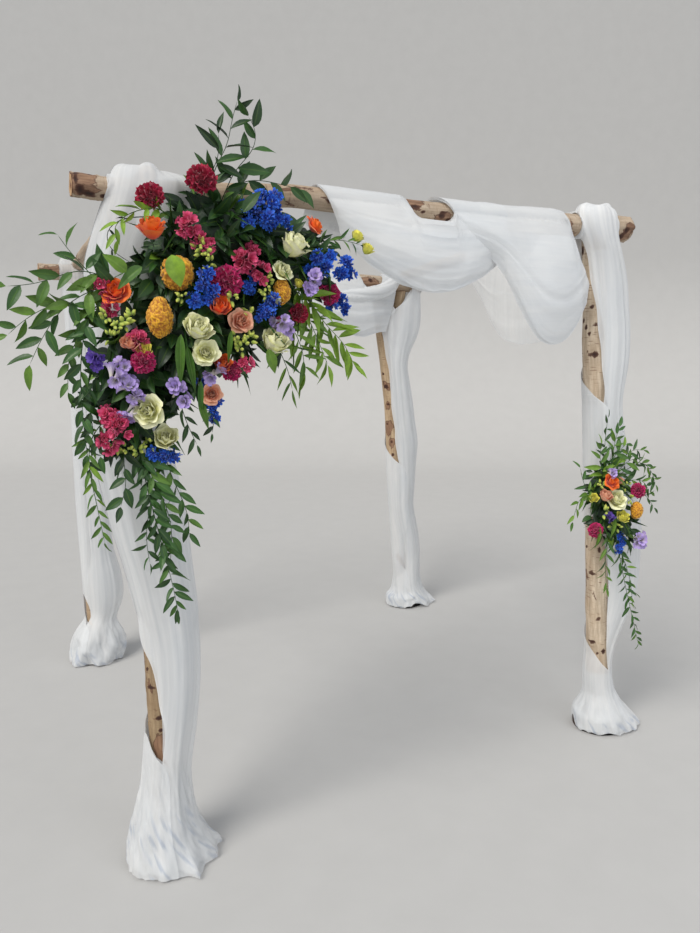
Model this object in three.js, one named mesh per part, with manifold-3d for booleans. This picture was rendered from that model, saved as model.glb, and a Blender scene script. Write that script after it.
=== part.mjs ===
// Wedding canopy of four birch posts and four birch beams, draped with tulle and dressed with flowers.
// Millimetres, +Z up, +X along the front beam, -Y towards the viewer of the front.
import * as THREE from "three";
import { mergeVertices } from "three/addons/utils/BufferGeometryUtils.js";
import Module from "manifold-3d";

const wasm = await Module();
wasm.setup();

// Driving dimensions.
const FOOT_X = { front_left: -975, front_right: 918, back_left: -935, back_right: 948 };
const DEPTH = 1729; // between the front and the back beams
const BEAM_HEIGHT = 2090; // axis of the front beam
const BACK_BEAM_HEIGHT = 1982;
const POST_R = 44; // near the floor
const BACK_BEAM_R = 40;
const SIDE_BEAM_R = 27;
const NOTCH = 24; // depth of the seat of a side beam on the beams below it
const BASE_R = 120; // cast iron foot
const BASE_H = 40;
const SOCKET_WALL = 5;
const SOCKET_H = 95;
const CLOTH = 7; // thickness of a bunch of tulle
const GAP = 0.35; // clearance between two pieces that touch
const SIDES = 10;

const frontY = (x) => 16 - DEPTH / 2 + 0.0105 * x;
const backY = (x) => 16 + DEPTH / 2 + 0.005 * x;
const v3 = (x, y, z) => new THREE.Vector3(x, y, z);
const { PI, cos, sin, abs, sign, max, min, sqrt } = Math;

const COLOURS = {
  bark: 0xd9c7a2,
  iron: 0x1d1c1c,
  tulle: 0xf2f3f5,
  leaf: 0x4c6b35,
  cream: 0xf1e0c2,
  orange: 0xe0682f,
  crimson: 0x8e1730,
  mustard: 0xd9a227,
  blue: 0x4a5fb5,
  lilac: 0xc3a3d2,
  pink: 0xd1527f,
};

const root = new THREE.Group();

// Piecewise linear table of [key, values...] rows.
function at(rows, key) {
  let i = 1;
  while (i < rows.length - 1 && rows[i][0] < key) i++;
  const [a, b] = [rows[i - 1], rows[i]];
  const t = min(1, max(0, (key - a[0]) / (b[0] - a[0])));
  return a.slice(1).map((v, k) => v + (b[k + 1] - v) * t);
}

// A closed body from an indexed list of corners.
function body(points, faces) {
  return new wasm.Manifold(
    new wasm.Mesh({
      numProp: 3,
      vertProperties: new Float32Array(points.flatMap((p) => [p.x, p.y, p.z])),
      triVerts: new Uint32Array(faces.flat()),
    }),
  );
}

function solidOf(geometry) {
  geometry.deleteAttribute("normal");
  geometry.deleteAttribute("uv");
  const g = mergeVertices(geometry, 1e-3);
  return new wasm.Manifold(
    new wasm.Mesh({
      numProp: 3,
      vertProperties: new Float32Array(g.attributes.position.array),
      triVerts: new Uint32Array(g.index.array),
    }),
  );
}

function largest(solid) {
  return solid.decompose().reduce((a, b) => (a.volume() > b.volume() ? a : b));
}

function add(name, solid, colour) {
  const mesh = largest(solid).getMesh();
  const g = new THREE.BufferGeometry();
  g.setAttribute("position", new THREE.BufferAttribute(mesh.vertProperties, 3));
  g.setIndex(new THREE.BufferAttribute(mesh.triVerts, 1));
  g.computeVertexNormals();
  const m = new THREE.Mesh(g, new THREE.MeshStandardMaterial({ color: COLOURS[colour] }));
  m.name = name;
  root.add(m);
  return m;
}

// A log along one axis: rows of [position along the axis, the two other coordinates, radius].
function log(axis, rows, grow = 0, sides = SIDES) {
  const points = [],
    faces = [];
  const place = { x: (t, a, b) => v3(t, a, b), y: (t, a, b) => v3(a, t, b), z: (t, a, b) => v3(a, b, t) };
  const turn = axis === "y" ? -1 : 1;
  rows.forEach(([t, a, b, r], i) => {
    const end = grow && i === 0 ? -grow : grow && i === rows.length - 1 ? grow : 0;
    for (let k = 0; k < sides; k++) {
      const q = (turn * k * 2 * PI) / sides;
      points.push(place[axis](t + end, a + (r + grow) * cos(q), b + (r + grow) * sin(q)));
    }
  });
  for (let i = 0; i + 1 < rows.length; i++)
    for (let k = 0; k < sides; k++) {
      const n = (k + 1) % sides;
      const [p, q, s, u] = [i * sides + k, i * sides + n, (i + 1) * sides + n, (i + 1) * sides + k];
      faces.push([p, q, s], [p, s, u]);
    }
  const top = (rows.length - 1) * sides;
  for (let k = 1; k + 1 < sides; k++) {
    faces.push([0, k + 1, k]);
    faces.push([top, top + k, top + k + 1]);
  }
  return body(points, faces);
}

// Rows of a log resampled at an even step, with a slight waist between its knots.
function grown(rows, step, wobble = 1.2) {
  const out = [];
  const length = rows.at(-1)[0] - rows[0][0];
  const n = Math.round(length / step);
  for (let i = 0; i <= n; i++) {
    const t = rows[0][0] + (length * i) / n;
    const [a, b, r] = at(rows, t);
    out.push([t, a, b, r + wobble * sin(i * 2.4)]);
  }
  return out;
}

// A sheet with real thickness between an outer and an inner surface, both given over u and v.
function sheet(nu, nv, outer, inner, ring = false) {
  const points = [],
    faces = [];
  const cols = ring ? nu : nu + 1;
  for (const f of [outer, inner])
    for (let j = 0; j <= nv; j++) for (let i = 0; i < cols; i++) points.push(f(i / nu, j / nv));
  const id = (s, i, j) => s * cols * (nv + 1) + j * cols + (i % cols);
  const quad = (a, b, c, d) => faces.push([a, b, c], [a, c, d]);
  for (let j = 0; j < nv; j++)
    for (let i = 0; i < nu; i++) {
      quad(id(0, i, j), id(0, i + 1, j), id(0, i + 1, j + 1), id(0, i, j + 1));
      quad(id(1, i, j), id(1, i, j + 1), id(1, i + 1, j + 1), id(1, i + 1, j));
    }
  for (let i = 0; i < nu; i++) {
    quad(id(0, i + 1, 0), id(0, i, 0), id(1, i, 0), id(1, i + 1, 0));
    quad(id(0, i, nv), id(0, i + 1, nv), id(1, i + 1, nv), id(1, i, nv));
  }
  if (!ring)
    for (let j = 0; j < nv; j++) {
      quad(id(0, 0, j), id(0, 0, j + 1), id(1, 0, j + 1), id(1, 0, j));
      quad(id(0, nu, j + 1), id(0, nu, j), id(1, nu, j), id(1, nu, j + 1));
    }
  const made = body(points, faces);
  return made.volume() < 0 ? body(points, faces.map(([a, b, c]) => [a, c, b])) : made;
}

// Timber: rows of [height, lean from the foot, change of radius] for posts, [x, height, radius] for beams.
const postRows = {
  front_left: [[0, 0, 0], [335, -2, 0], [676, -7, -1], [1001, -18, -2], [1372, -31, -3], [2085, -61, -5]],
  front_right: [[0, 0, 3], [290, -26, 3], [566, -47, 2], [1005, -82, 2], [1422, -114, 1], [2090, -172, 1]],
  back_left: [[0, 0, 0], [535, -13, -1], [853, -21, -2], [1364, -19, -3], [1985, -18, -4]],
  back_right: [[0, 0, 2], [290, -33, 2], [868, -82, 1], [1299, -110, 0], [1688, -166, -2], [1985, -202, -3]],
};
const postY = { front_left: -858, front_right: -838, back_left: 878, back_right: 886 };
const posts = {};
for (const [key, rows] of Object.entries(postRows))
  posts[key] = grown(rows.map(([z, lean, dr]) => [z, FOOT_X[key] + lean, postY[key], POST_R + dr]), 300);
for (const rows of Object.values(posts)) rows[0][0] = 8 + GAP;

const frontRows = [
  [-1162, 2081, 31], [-1070, 2080, 32], [-900, 2084, 33], [-515, 2101, 34.5], [-368, 2096, 35.5],
  [-50, 2090, 36.5], [300, 2086, 38.5], [629, 2087, 41], [760, BEAM_HEIGHT, 45], [908, 2093, 48.5],
];
const backRows = [[-1110, BACK_BEAM_HEIGHT, 38], [0, 1990, 40], [640, 1993, 41], [1030, 1978, BACK_BEAM_R]];
const frontBeam = grown(frontRows.map(([x, z, r]) => [x, frontY(x), z, r]), 260);
const backBeam = grown(backRows.map(([x, z, r]) => [x, backY(x), z, r]), 300);
const frontTop = (x) => at(frontRows, x)[0] + at(frontRows, x)[1];
const backTop = (x) => at(backRows, x)[0] + at(backRows, x)[1];
const sideRows = (x0, x1, y0, y1) => {
  const z0 = frontTop(x0) + SIDE_BEAM_R - NOTCH,
    z1 = backTop(x1) + SIDE_BEAM_R - NOTCH;
  const z = (y) => z0 + ((z1 - z0) * (y - frontY(x0))) / (backY(x1) - frontY(x0));
  return grown([[y0, x0, z(y0), SIDE_BEAM_R - 1], [y1, x1, z(y1), SIDE_BEAM_R + 2]], 320, 1);
};
const leftBeam = sideRows(-958, -926, -925, 965);
const rightBeam = sideRows(757, 900, -925, 970);

const front = log("x", frontBeam),
  back = log("x", backBeam);
const frontClear = log("x", frontBeam, GAP),
  backClear = log("x", backBeam, GAP);
add("beam_front", front, "bark");
add("beam_back", back, "bark");

// A broken twig left on the left beam.
const twig = solidOf(new THREE.CylinderGeometry(5, 9, 70, 8).rotateZ(0.9).translate(-965, 640, 2092));
const left = log("y", leftBeam).add(twig).subtract(frontClear).subtract(backClear);
const right = log("y", rightBeam).subtract(frontClear).subtract(backClear);
add("beam_left", left, "bark");
add("beam_right", right, "bark");

// The right one of the back posts forks below the beam.
const prongRows = [[1560, 812, 886, 30], [1700, 842, 886, 36], [1960, 898, 885, 33]];
const prong = log("z", prongRows);
for (const [key, rows] of Object.entries(posts)) {
  let trunk = log("z", rows);
  if (key === "back_right") trunk = trunk.add(prong);
  add("post_" + key, trunk.subtract(frontClear).subtract(backClear).subtract(log("y", leftBeam, GAP)), "bark");
}

// Every cloth and flower solid keeps clear of the timber and the feet.
const logs = [frontBeam, backBeam].map((rows) => log("x", rows, GAP));
logs.push(...[leftBeam, rightBeam].map((rows) => log("y", rows, GAP)), log("z", prongRows, GAP), twig);
logs.push(...Object.values(posts).map((rows) => log("z", rows, GAP)));
const timber = wasm.Manifold.union(logs);

// Cast iron feet: a rounded disc with a socket for the post.
const feet = {};
for (const key of Object.keys(posts)) {
  const [x, , r] = at(posts[key], 60);
  const rBore = r + 2.2;
  const outline = [[0, 0], [BASE_R - 4, 0], [BASE_R, 6], [BASE_R, BASE_H - 12], [BASE_R - 12, BASE_H],
    [rBore + 16, BASE_H + 8], [rBore + SOCKET_WALL + 3, SOCKET_H - 30], [rBore + SOCKET_WALL, SOCKET_H], [0, SOCKET_H]];
  const lathe = (grow) => solidOf(new THREE.LatheGeometry(
    outline.map(([a, b]) => new THREE.Vector2(a ? a + grow : 0, b)), 24).rotateX(PI / 2).translate(x, postY[key], 0));
  const trunk = log("z", posts[key], GAP);
  feet[key] = { x, y: postY[key] };
  add("foot_" + key, lathe(0).subtract(trunk), "iron");
  feet[key].clear = lathe(GAP);
}
const iron = wasm.Manifold.union(Object.values(feet).map((f) => f.clear));
const cloth = [];

// A cloth is a function of how far it is grown: the grown one clears its neighbours.
function drape(name, shape, ...cuts) {
  add(name, shape(0).subtract(wasm.Manifold.union([timber, iron, ...cuts])), "tulle");
  cloth.push(shape(GAP));
}

// Cloth laid over a beam: n is the way across the beam, to the front or the outside where negative.
const over = (axis, rows, from, to, frontDrop, backDrop, belly = 0, lift = 4, steps = 7) => (grow) => {
  const surface = (c, top) => (u, v) => {
    const t = from - grow + (to - from + 2 * grow) * u;
    const [across, za, r] = at(rows, t);
    const zf = at(frontDrop, t)[0] - grow,
      zb = at(backDrop, t)[0] - grow;
    const e = r + c;
    const path = [
      [0, e + 3, zb], [1, e + 2, (za + zb) / 2], [2, e, za], [3, e * 0.74, za + e * 0.74],
      [4, 0, za + r + top], [5, -e * 0.74, za + e * 0.74], [6, -e, za],
      [7, -e - belly * 0.7, za + (zf - za) * 0.35], [8, -e - belly, za + (zf - za) * 0.7],
      [9, -e - belly * 0.6, zf],
    ];
    const [n, z] = at(path, 9 * v);
    return axis === "x" ? v3(t, across + n, z) : v3(across - n, t, z);
  };
  return sheet(steps, 9, surface(CLOTH + 5 + grow, CLOTH + lift + grow), surface(5 - grow, GAP - grow));
};
const slab = (x0, x1, y0, y1, z0, z1) =>
  wasm.Manifold.cube([x1 - x0, y1 - y0, z1 - z0]).translate([x0, y0, z0]);

// Cloth gathered round a post: rows of [height, centre x, half width, centre y, half depth].
const round = (rows, folds = 5, deep = 4, nv = 9) => (grow) => {
  const z0 = rows[0][0] - grow,
    z1 = rows.at(-1)[0] + grow;
  const surface = (c) => (u, v) => {
    const z = z0 + (z1 - z0) * v;
    const [cx, w, cy, d] = at(rows, z);
    const a = 2 * PI * u;
    const wave = deep * cos(folds * a);
    const e = 2 / 2.6;
    const px = sign(cos(a)) * abs(cos(a)) ** e,
      py = sign(sin(a)) * abs(sin(a)) ** e;
    return v3(cx + (w + c + wave) * px, cy + (d + c + wave) * py, z);
  };
  return sheet(20, nv, surface(grow), surface(-CLOTH - grow), true);
};

// A hem that stands on the floor round a foot, lifted where the iron shows: rows of [height, radius].
const skirt = (foot, neck, rows, lifted, width = 0.6) => (grow) => {
  const surface = (c) => (u, v) => {
    const a = 2 * PI * u;
    const off = abs(Math.atan2(sin(a - lifted), cos(a - lifted)));
    const hem = lifted === null ? 0 : 44 * max(0, 1 - off / width);
    const z = hem - grow + (rows[0][0] + 2 * grow - hem) * v;
    const [r] = at(rows.toReversed(), z);
    const cx = foot.x + (neck[0] - foot.x) * v,
      cy = foot.y + (neck[1] - foot.y) * v;
    const wave = 3 * cos(6 * a) * (1 - v);
    return v3(cx + (r + c + wave) * cos(a), cy + (r + c + wave) * sin(a), z);
  };
  return sheet(24, 7, surface(CLOTH + grow), surface(-grow), true);
};

// Caps and swags of the beams.
const level = (z) => [[-2000, z], [2000, z]];
drape("cap_front_left", over("x", frontBeam, -1108, -815,
  [[-1108, 2030], [-1060, 1985], [-815, 1990]], level(2010), 6, 40));
drape("cap_front_right", over("x", frontBeam, 716, 884, level(1990), level(2000), 8, 34));
drape("cap_back_left", over("x", backBeam, -1016, -850, level(1900), level(1905), 4, 34));
drape("cap_back_right", over("x", backBeam, 812, 1022, level(1860), level(1870), 12, 50));
const windowed = (shape, ...window) => (grow) => {
  const [x0, x1, y0, y1, z0, z1] = window;
  return shape(grow).subtract(slab(x0 + grow, x1 - grow, y0, y1, z0 + grow, z1));
};
drape("swag_front_left", windowed(
  over("x", frontBeam, -398, 262, [[-398, 2040], [-380, 2021], [-327, 1947], [-254, 1894], [-179, 1859],
    [-101, 1835], [-21, 1824], [60, 1833], [143, 1863], [207, 1899], [262, 1938]], level(2060), 26, 5, 12),
  -147, 88, -1000, -700, 2046, 2300));
drape("swag_front_right", windowed(
  over("x", frontBeam, 272, 706, [[272, 1936], [342, 1841], [439, 1754], [511, 1656], [591, 1644],
    [653, 1681], [700, 1746], [706, 1800]], level(2050), 34, 5, 11),
  573, 700, -1000, -700, 2050, 2300));
drape("swag_back", over("x", backBeam, 290, 800, [[290, 1900], [320, 1720], [433, 1705], [500, 1705],
  [587, 1690], [700, 1695], [800, 1740]], level(1950), 20, 5, 10));
const rightSwag = over("y", rightBeam, -745, 120, [[-745, 1790], [-561, 1649], [-487, 1640], [-352, 1629],
  [-220, 1670], [-82, 1794], [55, 1940], [120, 2010]], [[-745, 1900], [120, 2030]], 16, 5, 12);
drape("swag_right", rightSwag, ...cloth);

// Falls of the posts, each down to the neck of its skirt.
const NECK = { front_left: 296, front_right: 416, back_left: 316, back_right: 296 };
const pf = postY.front_left - 6;
drape("fall_front_left", round([[NECK.front_left + GAP, -975, 62, pf, 60], [366, -940, 62, pf, 62], [568, -930, 69, pf, 66],
  [700, -937, 80, pf, 70], [834, -952, 90, pf, 74], [995, -978, 100, pf, 78], [1270, -1022, 113, pf, 82],
  [1387, -1055, 112, pf, 82], [1879, -1040, 104, pf, 72], [1984, -1005, 90, pf, 66]]), ...cloth);
const pr = postY.front_right;
drape("fall_front_right", round([[NECK.front_right + GAP, 892, 64, pr, 62], [470, 930, 84, pr, 64], [650, 962, 94, pr, 66],
  [800, 955, 116, pr, 70], [1130, 912, 102, pr, 68], [1420, 878, 74, pr, 62], [1820, 825, 80, pr, 60],
  [1985, 780, 76, pr, 60]]), ...cloth);
const qf = postY.back_left;
drape("fall_back_left", round([[NECK.back_left + GAP, -935, 62, qf, 60], [530, -915, 72, qf, 62], [976, -925, 74, qf, 64],
  [1390, -922, 78, qf, 66], [1660, -925, 84, qf, 66], [1895, -935, 80, qf, 60]]), ...cloth);
const qr = postY.back_right;
drape("fall_back_right", round([[NECK.back_right + GAP, 918, 62, qr, 60], [400, 925, 66, qr, 62], [684, 915, 76, qr, 66],
  [984, 905, 98, qr, 72], [1180, 892, 84, qr, 68], [1421, 885, 78, qr, 64], [1511, 878, 76, qr, 64],
  [1718, 905, 122, qr, 70], [1850, 918, 112, qr, 62]]), ...cloth);

// Skirts of the feet.
drape("skirt_front_left", skirt(feet.front_left, [-975, pf], [[NECK.front_left, 55], [240, 70], [150, 106], [60, 126], [0, 134]], 2.9, 0.4), ...cloth);
drape("skirt_front_right", skirt(feet.front_right, [892, pr], [[NECK.front_right, 57], [260, 62], [150, 84], [100, 112], [45, 127], [0, 129]], 2.9, 0.5), ...cloth);
drape("skirt_back_left", skirt(feet.back_left, [-935, qf], [[NECK.back_left, 55], [220, 84], [110, 116], [50, 128], [0, 138]], 0.5, 0.3), ...cloth);
drape("skirt_back_right", skirt(feet.back_right, [918, qr], [[NECK.back_right, 55], [200, 74], [100, 108], [50, 127], [0, 131]], -1.9, 0.6), ...cloth);

const solids = wasm.Manifold.union([timber, iron, ...cloth]);

// Flowers and leaves.
const egg = (x, y, z, a, b, c, detail = 1) =>
  solidOf(new THREE.IcosahedronGeometry(1, detail).scale(a, b, c).translate(x, y, z));

// A leaf blade of a spray, and a spray of leaves along a bent stem.
function blade(at3, dir, length, width) {
  const g = new THREE.OctahedronGeometry(1, 0).scale(length / 2, width / 2, 3).translate(length / 2 - 6, 0, 0);
  const q = new THREE.Quaternion().setFromUnitVectors(v3(1, 0, 0), dir.clone().normalize());
  return solidOf(g.applyQuaternion(q).translate(at3.x, at3.y, at3.z));
}
function spray(path, leaves, length, width) {
  const curve = new THREE.CatmullRomCurve3(path.map((p) => v3(...p)));
  const parts = [stem(curve)];
  for (let i = 1; i <= leaves; i++) {
    const t = i / leaves;
    const p = curve.getPointAt(t),
      d = curve.getTangentAt(t);
    const side = new THREE.Vector3().crossVectors(d, v3(0.1, 1, 0.25)).normalize().multiplyScalar(i % 2 ? 0.9 : -0.9);
    if (i === leaves) side.multiplyScalar(0.1);
    parts.push(blade(p, d.clone().add(side), length * (1 - 0.25 * t), width));
  }
  return wasm.Manifold.union(parts);
}
function stem(curve) {
  const n = 8,
    sides = 5;
  const points = [],
    faces = [];
  const frames = curve.computeFrenetFrames(n, false);
  for (let i = 0; i <= n; i++) {
    const p = curve.getPointAt(i / n);
    for (let k = 0; k < sides; k++) {
      const a = (2 * PI * k) / sides;
      points.push(p.clone().addScaledVector(frames.normals[i], 4 * cos(a)).addScaledVector(frames.binormals[i], 4 * sin(a)));
    }
  }
  for (let i = 0; i < n; i++)
    for (let k = 0; k < sides; k++) {
      const m = (k + 1) % sides;
      faces.push([i * sides + k, i * sides + m, (i + 1) * sides + m], [i * sides + k, (i + 1) * sides + m, (i + 1) * sides + k]);
    }
  for (let k = 1; k + 1 < sides; k++) {
    faces.push([0, k + 1, k]);
    faces.push([n * sides, n * sides + k, n * sides + k + 1]);
  }
  const made = body(points, faces);
  return made.volume() < 0 ? body(points, faces.map(([a, b, c]) => [a, c, b])) : made;
}

const lumps = (rows) => (grow) =>
  wasm.Manifold.union(rows.map(([x, y, z, a, b, c]) => egg(x, y, z, a + grow, b + grow, c + grow)));
// Rows of [x, y, z, three half axes].
const lumpRows = {
  foliage_left: [
    [-980, -1010, 1880, 160, 110, 170], [-800, -1020, 1960, 180, 115, 150], [-600, -1000, 1890, 190, 110, 130],
    [-880, -1030, 1700, 180, 125, 190], [-1020, -1020, 1580, 150, 110, 190], [-1040, -1010, 1440, 105, 90, 120],
    [-690, -1010, 1740, 160, 105, 140], [-940, -1020, 1480, 115, 95, 120],
  ],
  foliage_right: [
    [770, -950, 1110, 110, 90, 130], [800, -950, 990, 130, 85, 120], [840, -945, 1080, 100, 80, 110],
  ],
};
const foliage = Object.fromEntries(Object.entries(lumpRows).map(([name, rows]) => [name, lumps(rows)]));

// Blooms sit in the foliage: rows of [x, z, radius, colour].
const surfaceY = (rows, x, z) =>
  min(...rows.map(([cx, cy, cz, a, b, c]) => cy - b * sqrt(max(0, 1 - ((x - cx) / a) ** 2 - ((z - cz) / c) ** 2))));
const blooms = {
  bloom_left_cream_top: [-600, 1945, 44, "cream"],
  bloom_left_cream_middle: [-885, 1600, 50, "cream"],
  bloom_left_cream_low: [-1010, 1440, 44, "cream"],
  bloom_left_orange: [-1000, 1935, 46, "orange"],
  bloom_left_crimson: [-860, 2040, 50, "crimson"],
  bloom_left_mustard: [-930, 1800, 46, "mustard"],
  bloom_left_pink: [-560, 1830, 40, "pink"],
  bloom_right_cream: [770, 1060, 36, "cream"],
  bloom_right_orange: [740, 1140, 36, "orange"],
  bloom_right_pink: [850, 1090, 34, "pink"],
};
const bloomShape = (name, grow) => {
  const [x, z, r] = blooms[name];
  const y = surfaceY(lumpRows[name.includes("left") ? "foliage_left" : "foliage_right"], x, z);
  return egg(x, y - 0.35 * r, z, r + grow, r * 0.8 + grow, r * 0.9 + grow);
};
const bloomClear = wasm.Manifold.union(Object.keys(blooms).map((name) => bloomShape(name, GAP)));
for (const [name, shape] of Object.entries(foliage))
  add(name, shape(0).subtract(solids).subtract(bloomClear), "leaf");
for (const name of Object.keys(blooms)) add(name, bloomShape(name, 0).subtract(solids), blooms[name][3]);
const everything = wasm.Manifold.union([
  solids, bloomClear, ...Object.values(foliage).map((shape) => shape(GAP)),
]);
const sprays = {
  spray_left_outer: [[[-1040, -1020, 1740], [-1160, -1060, 1790], [-1250, -1062, 1760], [-1310, -1062, 1680]], 8, 110, 34],
  spray_left_top: [[[-800, -1030, 2060], [-770, -1050, 2150], [-750, -1056, 2240]], 6, 70, 30],
  spray_left_inner: [[[-560, -1020, 1830], [-470, -1040, 1790], [-400, -1050, 1730], [-370, -1050, 1690]], 7, 80, 26],
  trail_left: [[[-960, -1060, 1420], [-950, -1070, 1280], [-955, -1065, 1120], [-960, -1058, 960]], 9, 80, 26],
  trail_right: [[[830, -990, 960], [850, -1000, 820], [850, -995, 640], [930, -988, 500]], 9, 75, 24],
};
for (const [name, [path, leaves, length, width]] of Object.entries(sprays))
  add(name, spray(path, leaves, length, width).subtract(everything), "leaf");

// The part's frame has its origin under the middle of the box that holds it all.
const box = new THREE.Box3().setFromObject(root);
root.position.set(-(box.min.x + box.max.x) / 2, -(box.min.y + box.max.y) / 2, -box.min.z);

export default root;
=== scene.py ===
"""A chuppah: four birch posts and four birch beams, draped with tulle and dressed with flowers."""

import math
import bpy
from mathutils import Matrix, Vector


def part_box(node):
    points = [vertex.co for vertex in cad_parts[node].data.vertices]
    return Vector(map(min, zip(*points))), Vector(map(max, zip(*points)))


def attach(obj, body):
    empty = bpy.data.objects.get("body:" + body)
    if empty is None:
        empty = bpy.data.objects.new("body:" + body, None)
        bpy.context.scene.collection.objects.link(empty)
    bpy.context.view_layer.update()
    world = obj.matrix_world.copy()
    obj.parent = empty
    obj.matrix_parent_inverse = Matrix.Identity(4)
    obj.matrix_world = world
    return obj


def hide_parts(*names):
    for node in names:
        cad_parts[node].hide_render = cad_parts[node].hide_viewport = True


bl_info = {
    "name": "Birch chuppah",
    "version": (1, 0, 0),
    "blender": (4, 5, 0),
    "location": "3D View > Sidebar > Chuppah",
    "description": "Builds the timber, tulle, flowers and stage of a birch wedding canopy",
    "category": "Add Mesh",
}

import bmesh
import bpy
import numpy as np
from bpy.props import FloatProperty, FloatVectorProperty, IntProperty, PointerProperty
from mathutils import Vector

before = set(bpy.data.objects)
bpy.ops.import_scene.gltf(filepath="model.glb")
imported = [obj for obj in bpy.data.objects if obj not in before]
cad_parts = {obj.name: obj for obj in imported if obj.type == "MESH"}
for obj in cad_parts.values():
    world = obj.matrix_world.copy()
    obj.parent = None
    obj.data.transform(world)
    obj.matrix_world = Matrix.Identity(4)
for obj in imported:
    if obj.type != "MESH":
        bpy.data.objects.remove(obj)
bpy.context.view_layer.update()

TAU = 2 * math.pi
GOLDEN_ANGLE = 2.39996  # from one petal of a spiral to the next
MERGE_DISTANCE = 1e-6
SWELL = 1.06  # how many radii from a log's axis its wavy bark reaches
BARK_GAP = 0.004  # how far cloth stays clear of bark
SEAM_OFF = 0.0016  # how far a hem or seam lies in front of its cloth
SEAT = 0.024  # how deep the side beams sit in the beams under them
# Large uneven numbers that make a random value of a whole point and a seed.
HASH_AXES, HASH_SEED, HASH_SPREAD = np.array([127.1, 311.7, 74.7]), 53.3, 43758.5453


def centre_of(node):
    """The middle of a CAD node's box."""
    low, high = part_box(node)
    return (np.array(low) + np.array(high)) / 2


# Plan positions below are measured from the middle of the four feet, in metres. SHIFT takes them
# to the frame's origin.
FOOT = {
    "front_left": (-0.9754, -0.858), "front_right": (0.9126, -0.838), "back_left": (-0.9365, 0.878),
    "back_right": (0.9412, 0.886),
}
SHIFT = np.append((centre_of("foot_front_left") - [*FOOT["front_left"], 0])[:2], 0)

# Timber: rows of height, x and radius for posts, and of x, height and radius for beams. The fork
# is the back right post's second limb.
POSTS = {
    "front_left": [(0.008, -0.975, 0.044), (0.335, -0.977, 0.044), (0.676, -0.982, 0.043),
      (1.001, -0.993, 0.042), (1.372, -1.006, 0.041), (2.062, -1.034, 0.039)],
    "front_right": [(0.008, 0.918, 0.047), (0.290, 0.892, 0.047), (0.566, 0.871, 0.046),
      (1.005, 0.836, 0.046), (1.422, 0.800, 0.045), (1.650, 0.776, 0.047), (2.06, 0.749, 0.045)],
    "back_left": [(0.008, -0.935, 0.044), (0.535, -0.948, 0.043), (0.853, -0.956, 0.042),
      (1.364, -0.954, 0.041), (1.955, -0.953, 0.040)],
    "back_right": [(0.008, 0.948, 0.046), (0.290, 0.915, 0.046), (0.868, 0.866, 0.045),
      (1.299, 0.838, 0.044), (1.688, 0.782, 0.042), (1.962, 0.749, 0.041)],
}
FORK = [(1.56, 0.812, 0.030), (1.70, 0.842, 0.036), (1.945, 0.895, 0.033)]
FRONT_BEAM = [
    (-1.162, 2.081, 0.031), (-1.070, 2.080, 0.032), (-0.900, 2.084, 0.033), (-0.515, 2.101, 0.0345),
    (-0.368, 2.096, 0.0355), (-0.050, 2.090, 0.0365), (0.300, 2.086, 0.0385), (0.629, 2.087, 0.041),
    (0.760, 2.090, 0.045), (0.908, 2.093, 0.0485),
]
BACK_BEAM = [
    (-1.110, 1.982, 0.038), (0.0, 1.990, 0.040), (0.640, 1.993, 0.041), (1.030, 1.978, 0.040),
]
SIDE_BEAM_R = 0.027


def front_y(x):
    """The front beam runs very nearly along x."""
    return -0.8485 + 0.0105 * np.asarray(x, float)


def back_y(x):
    """The back beam runs very nearly along x."""
    return 0.8805 + 0.005 * np.asarray(x, float)


def upright(name):
    """A post's y at any height: that of its foot."""
    return lambda z: FOOT[name][1] + 0 * z


def row_at(rows, t):
    """Values of the rows at t, straight between rows: one array for each column after the first."""
    table = np.array(rows, float)
    return [np.interp(t, table[:, 0], table[:, k]) for k in range(1, table.shape[1])]


def eased(x):
    """A ramp from 0 to 1 with level ends: three x squared less two x cubed."""
    x = np.clip(x, 0, 1)
    return x * x * (3 - 2 * x)


def stacked(*columns):
    """Arrays of coordinates as one array of points."""
    return np.stack(np.broadcast_arrays(*columns), axis=-1)


def unit(v, least=0.0):
    """Vectors of length one in the same directions; least keeps one of no length at nothing."""
    return v / (np.linalg.norm(v, axis=-1, keepdims=True) + least)


def noise(p, seed):
    """Smooth random numbers about 0: a random value at each whole point, eased between the eight
    round p."""
    p = np.asarray(p, float)
    cell = np.floor(p)
    f = eased(p - cell)
    total = 0
    for corner in np.ndindex(2, 2, 2):
        raw = np.sin((cell + corner) @ HASH_AXES + seed * HASH_SEED) * HASH_SPREAD
        weight = np.prod(np.where(np.array(corner) > 0, f, 1 - f), axis=-1)
        total = total + weight * (raw - np.floor(raw))
    return 2 * total - 1


def resampled(points, line, n, passes):
    """How far along the line n even steps are, and the points there, with the corners between them
    rounded by repeated averaging."""
    length = np.append(0, np.cumsum(np.linalg.norm(np.diff(line, axis=0), axis=1)))
    at = np.linspace(0, length[-1], n)
    out = np.stack([np.interp(at, length, column) for column in points.T], axis=1)
    for _ in range(passes):
        out[1:-1] = (out[:-2] + 2 * out[1:-1] + out[2:]) / 4
    return at, out


def smooth_line(points, n):
    """A smooth line of n points through the given ones, spread evenly, and its length."""
    p = np.array(points, float)
    at, out = resampled(p, p, n, max(2, n // 3))
    return out, at[-1]


def beside(path, aside):
    """Two directions square to a path and to each other, the first of them square to aside too."""
    tangent = unit(np.gradient(path, axis=0))
    side = unit(np.cross(tangent, aside))
    return side, np.cross(tangent, side)


def corners(grids):
    """The four corners of each square of the grids, in order round it."""
    return [grids[:, :-1, :-1], grids[:, :-1, 1:], grids[:, 1:, 1:], grids[:, 1:, :-1]]


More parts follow.
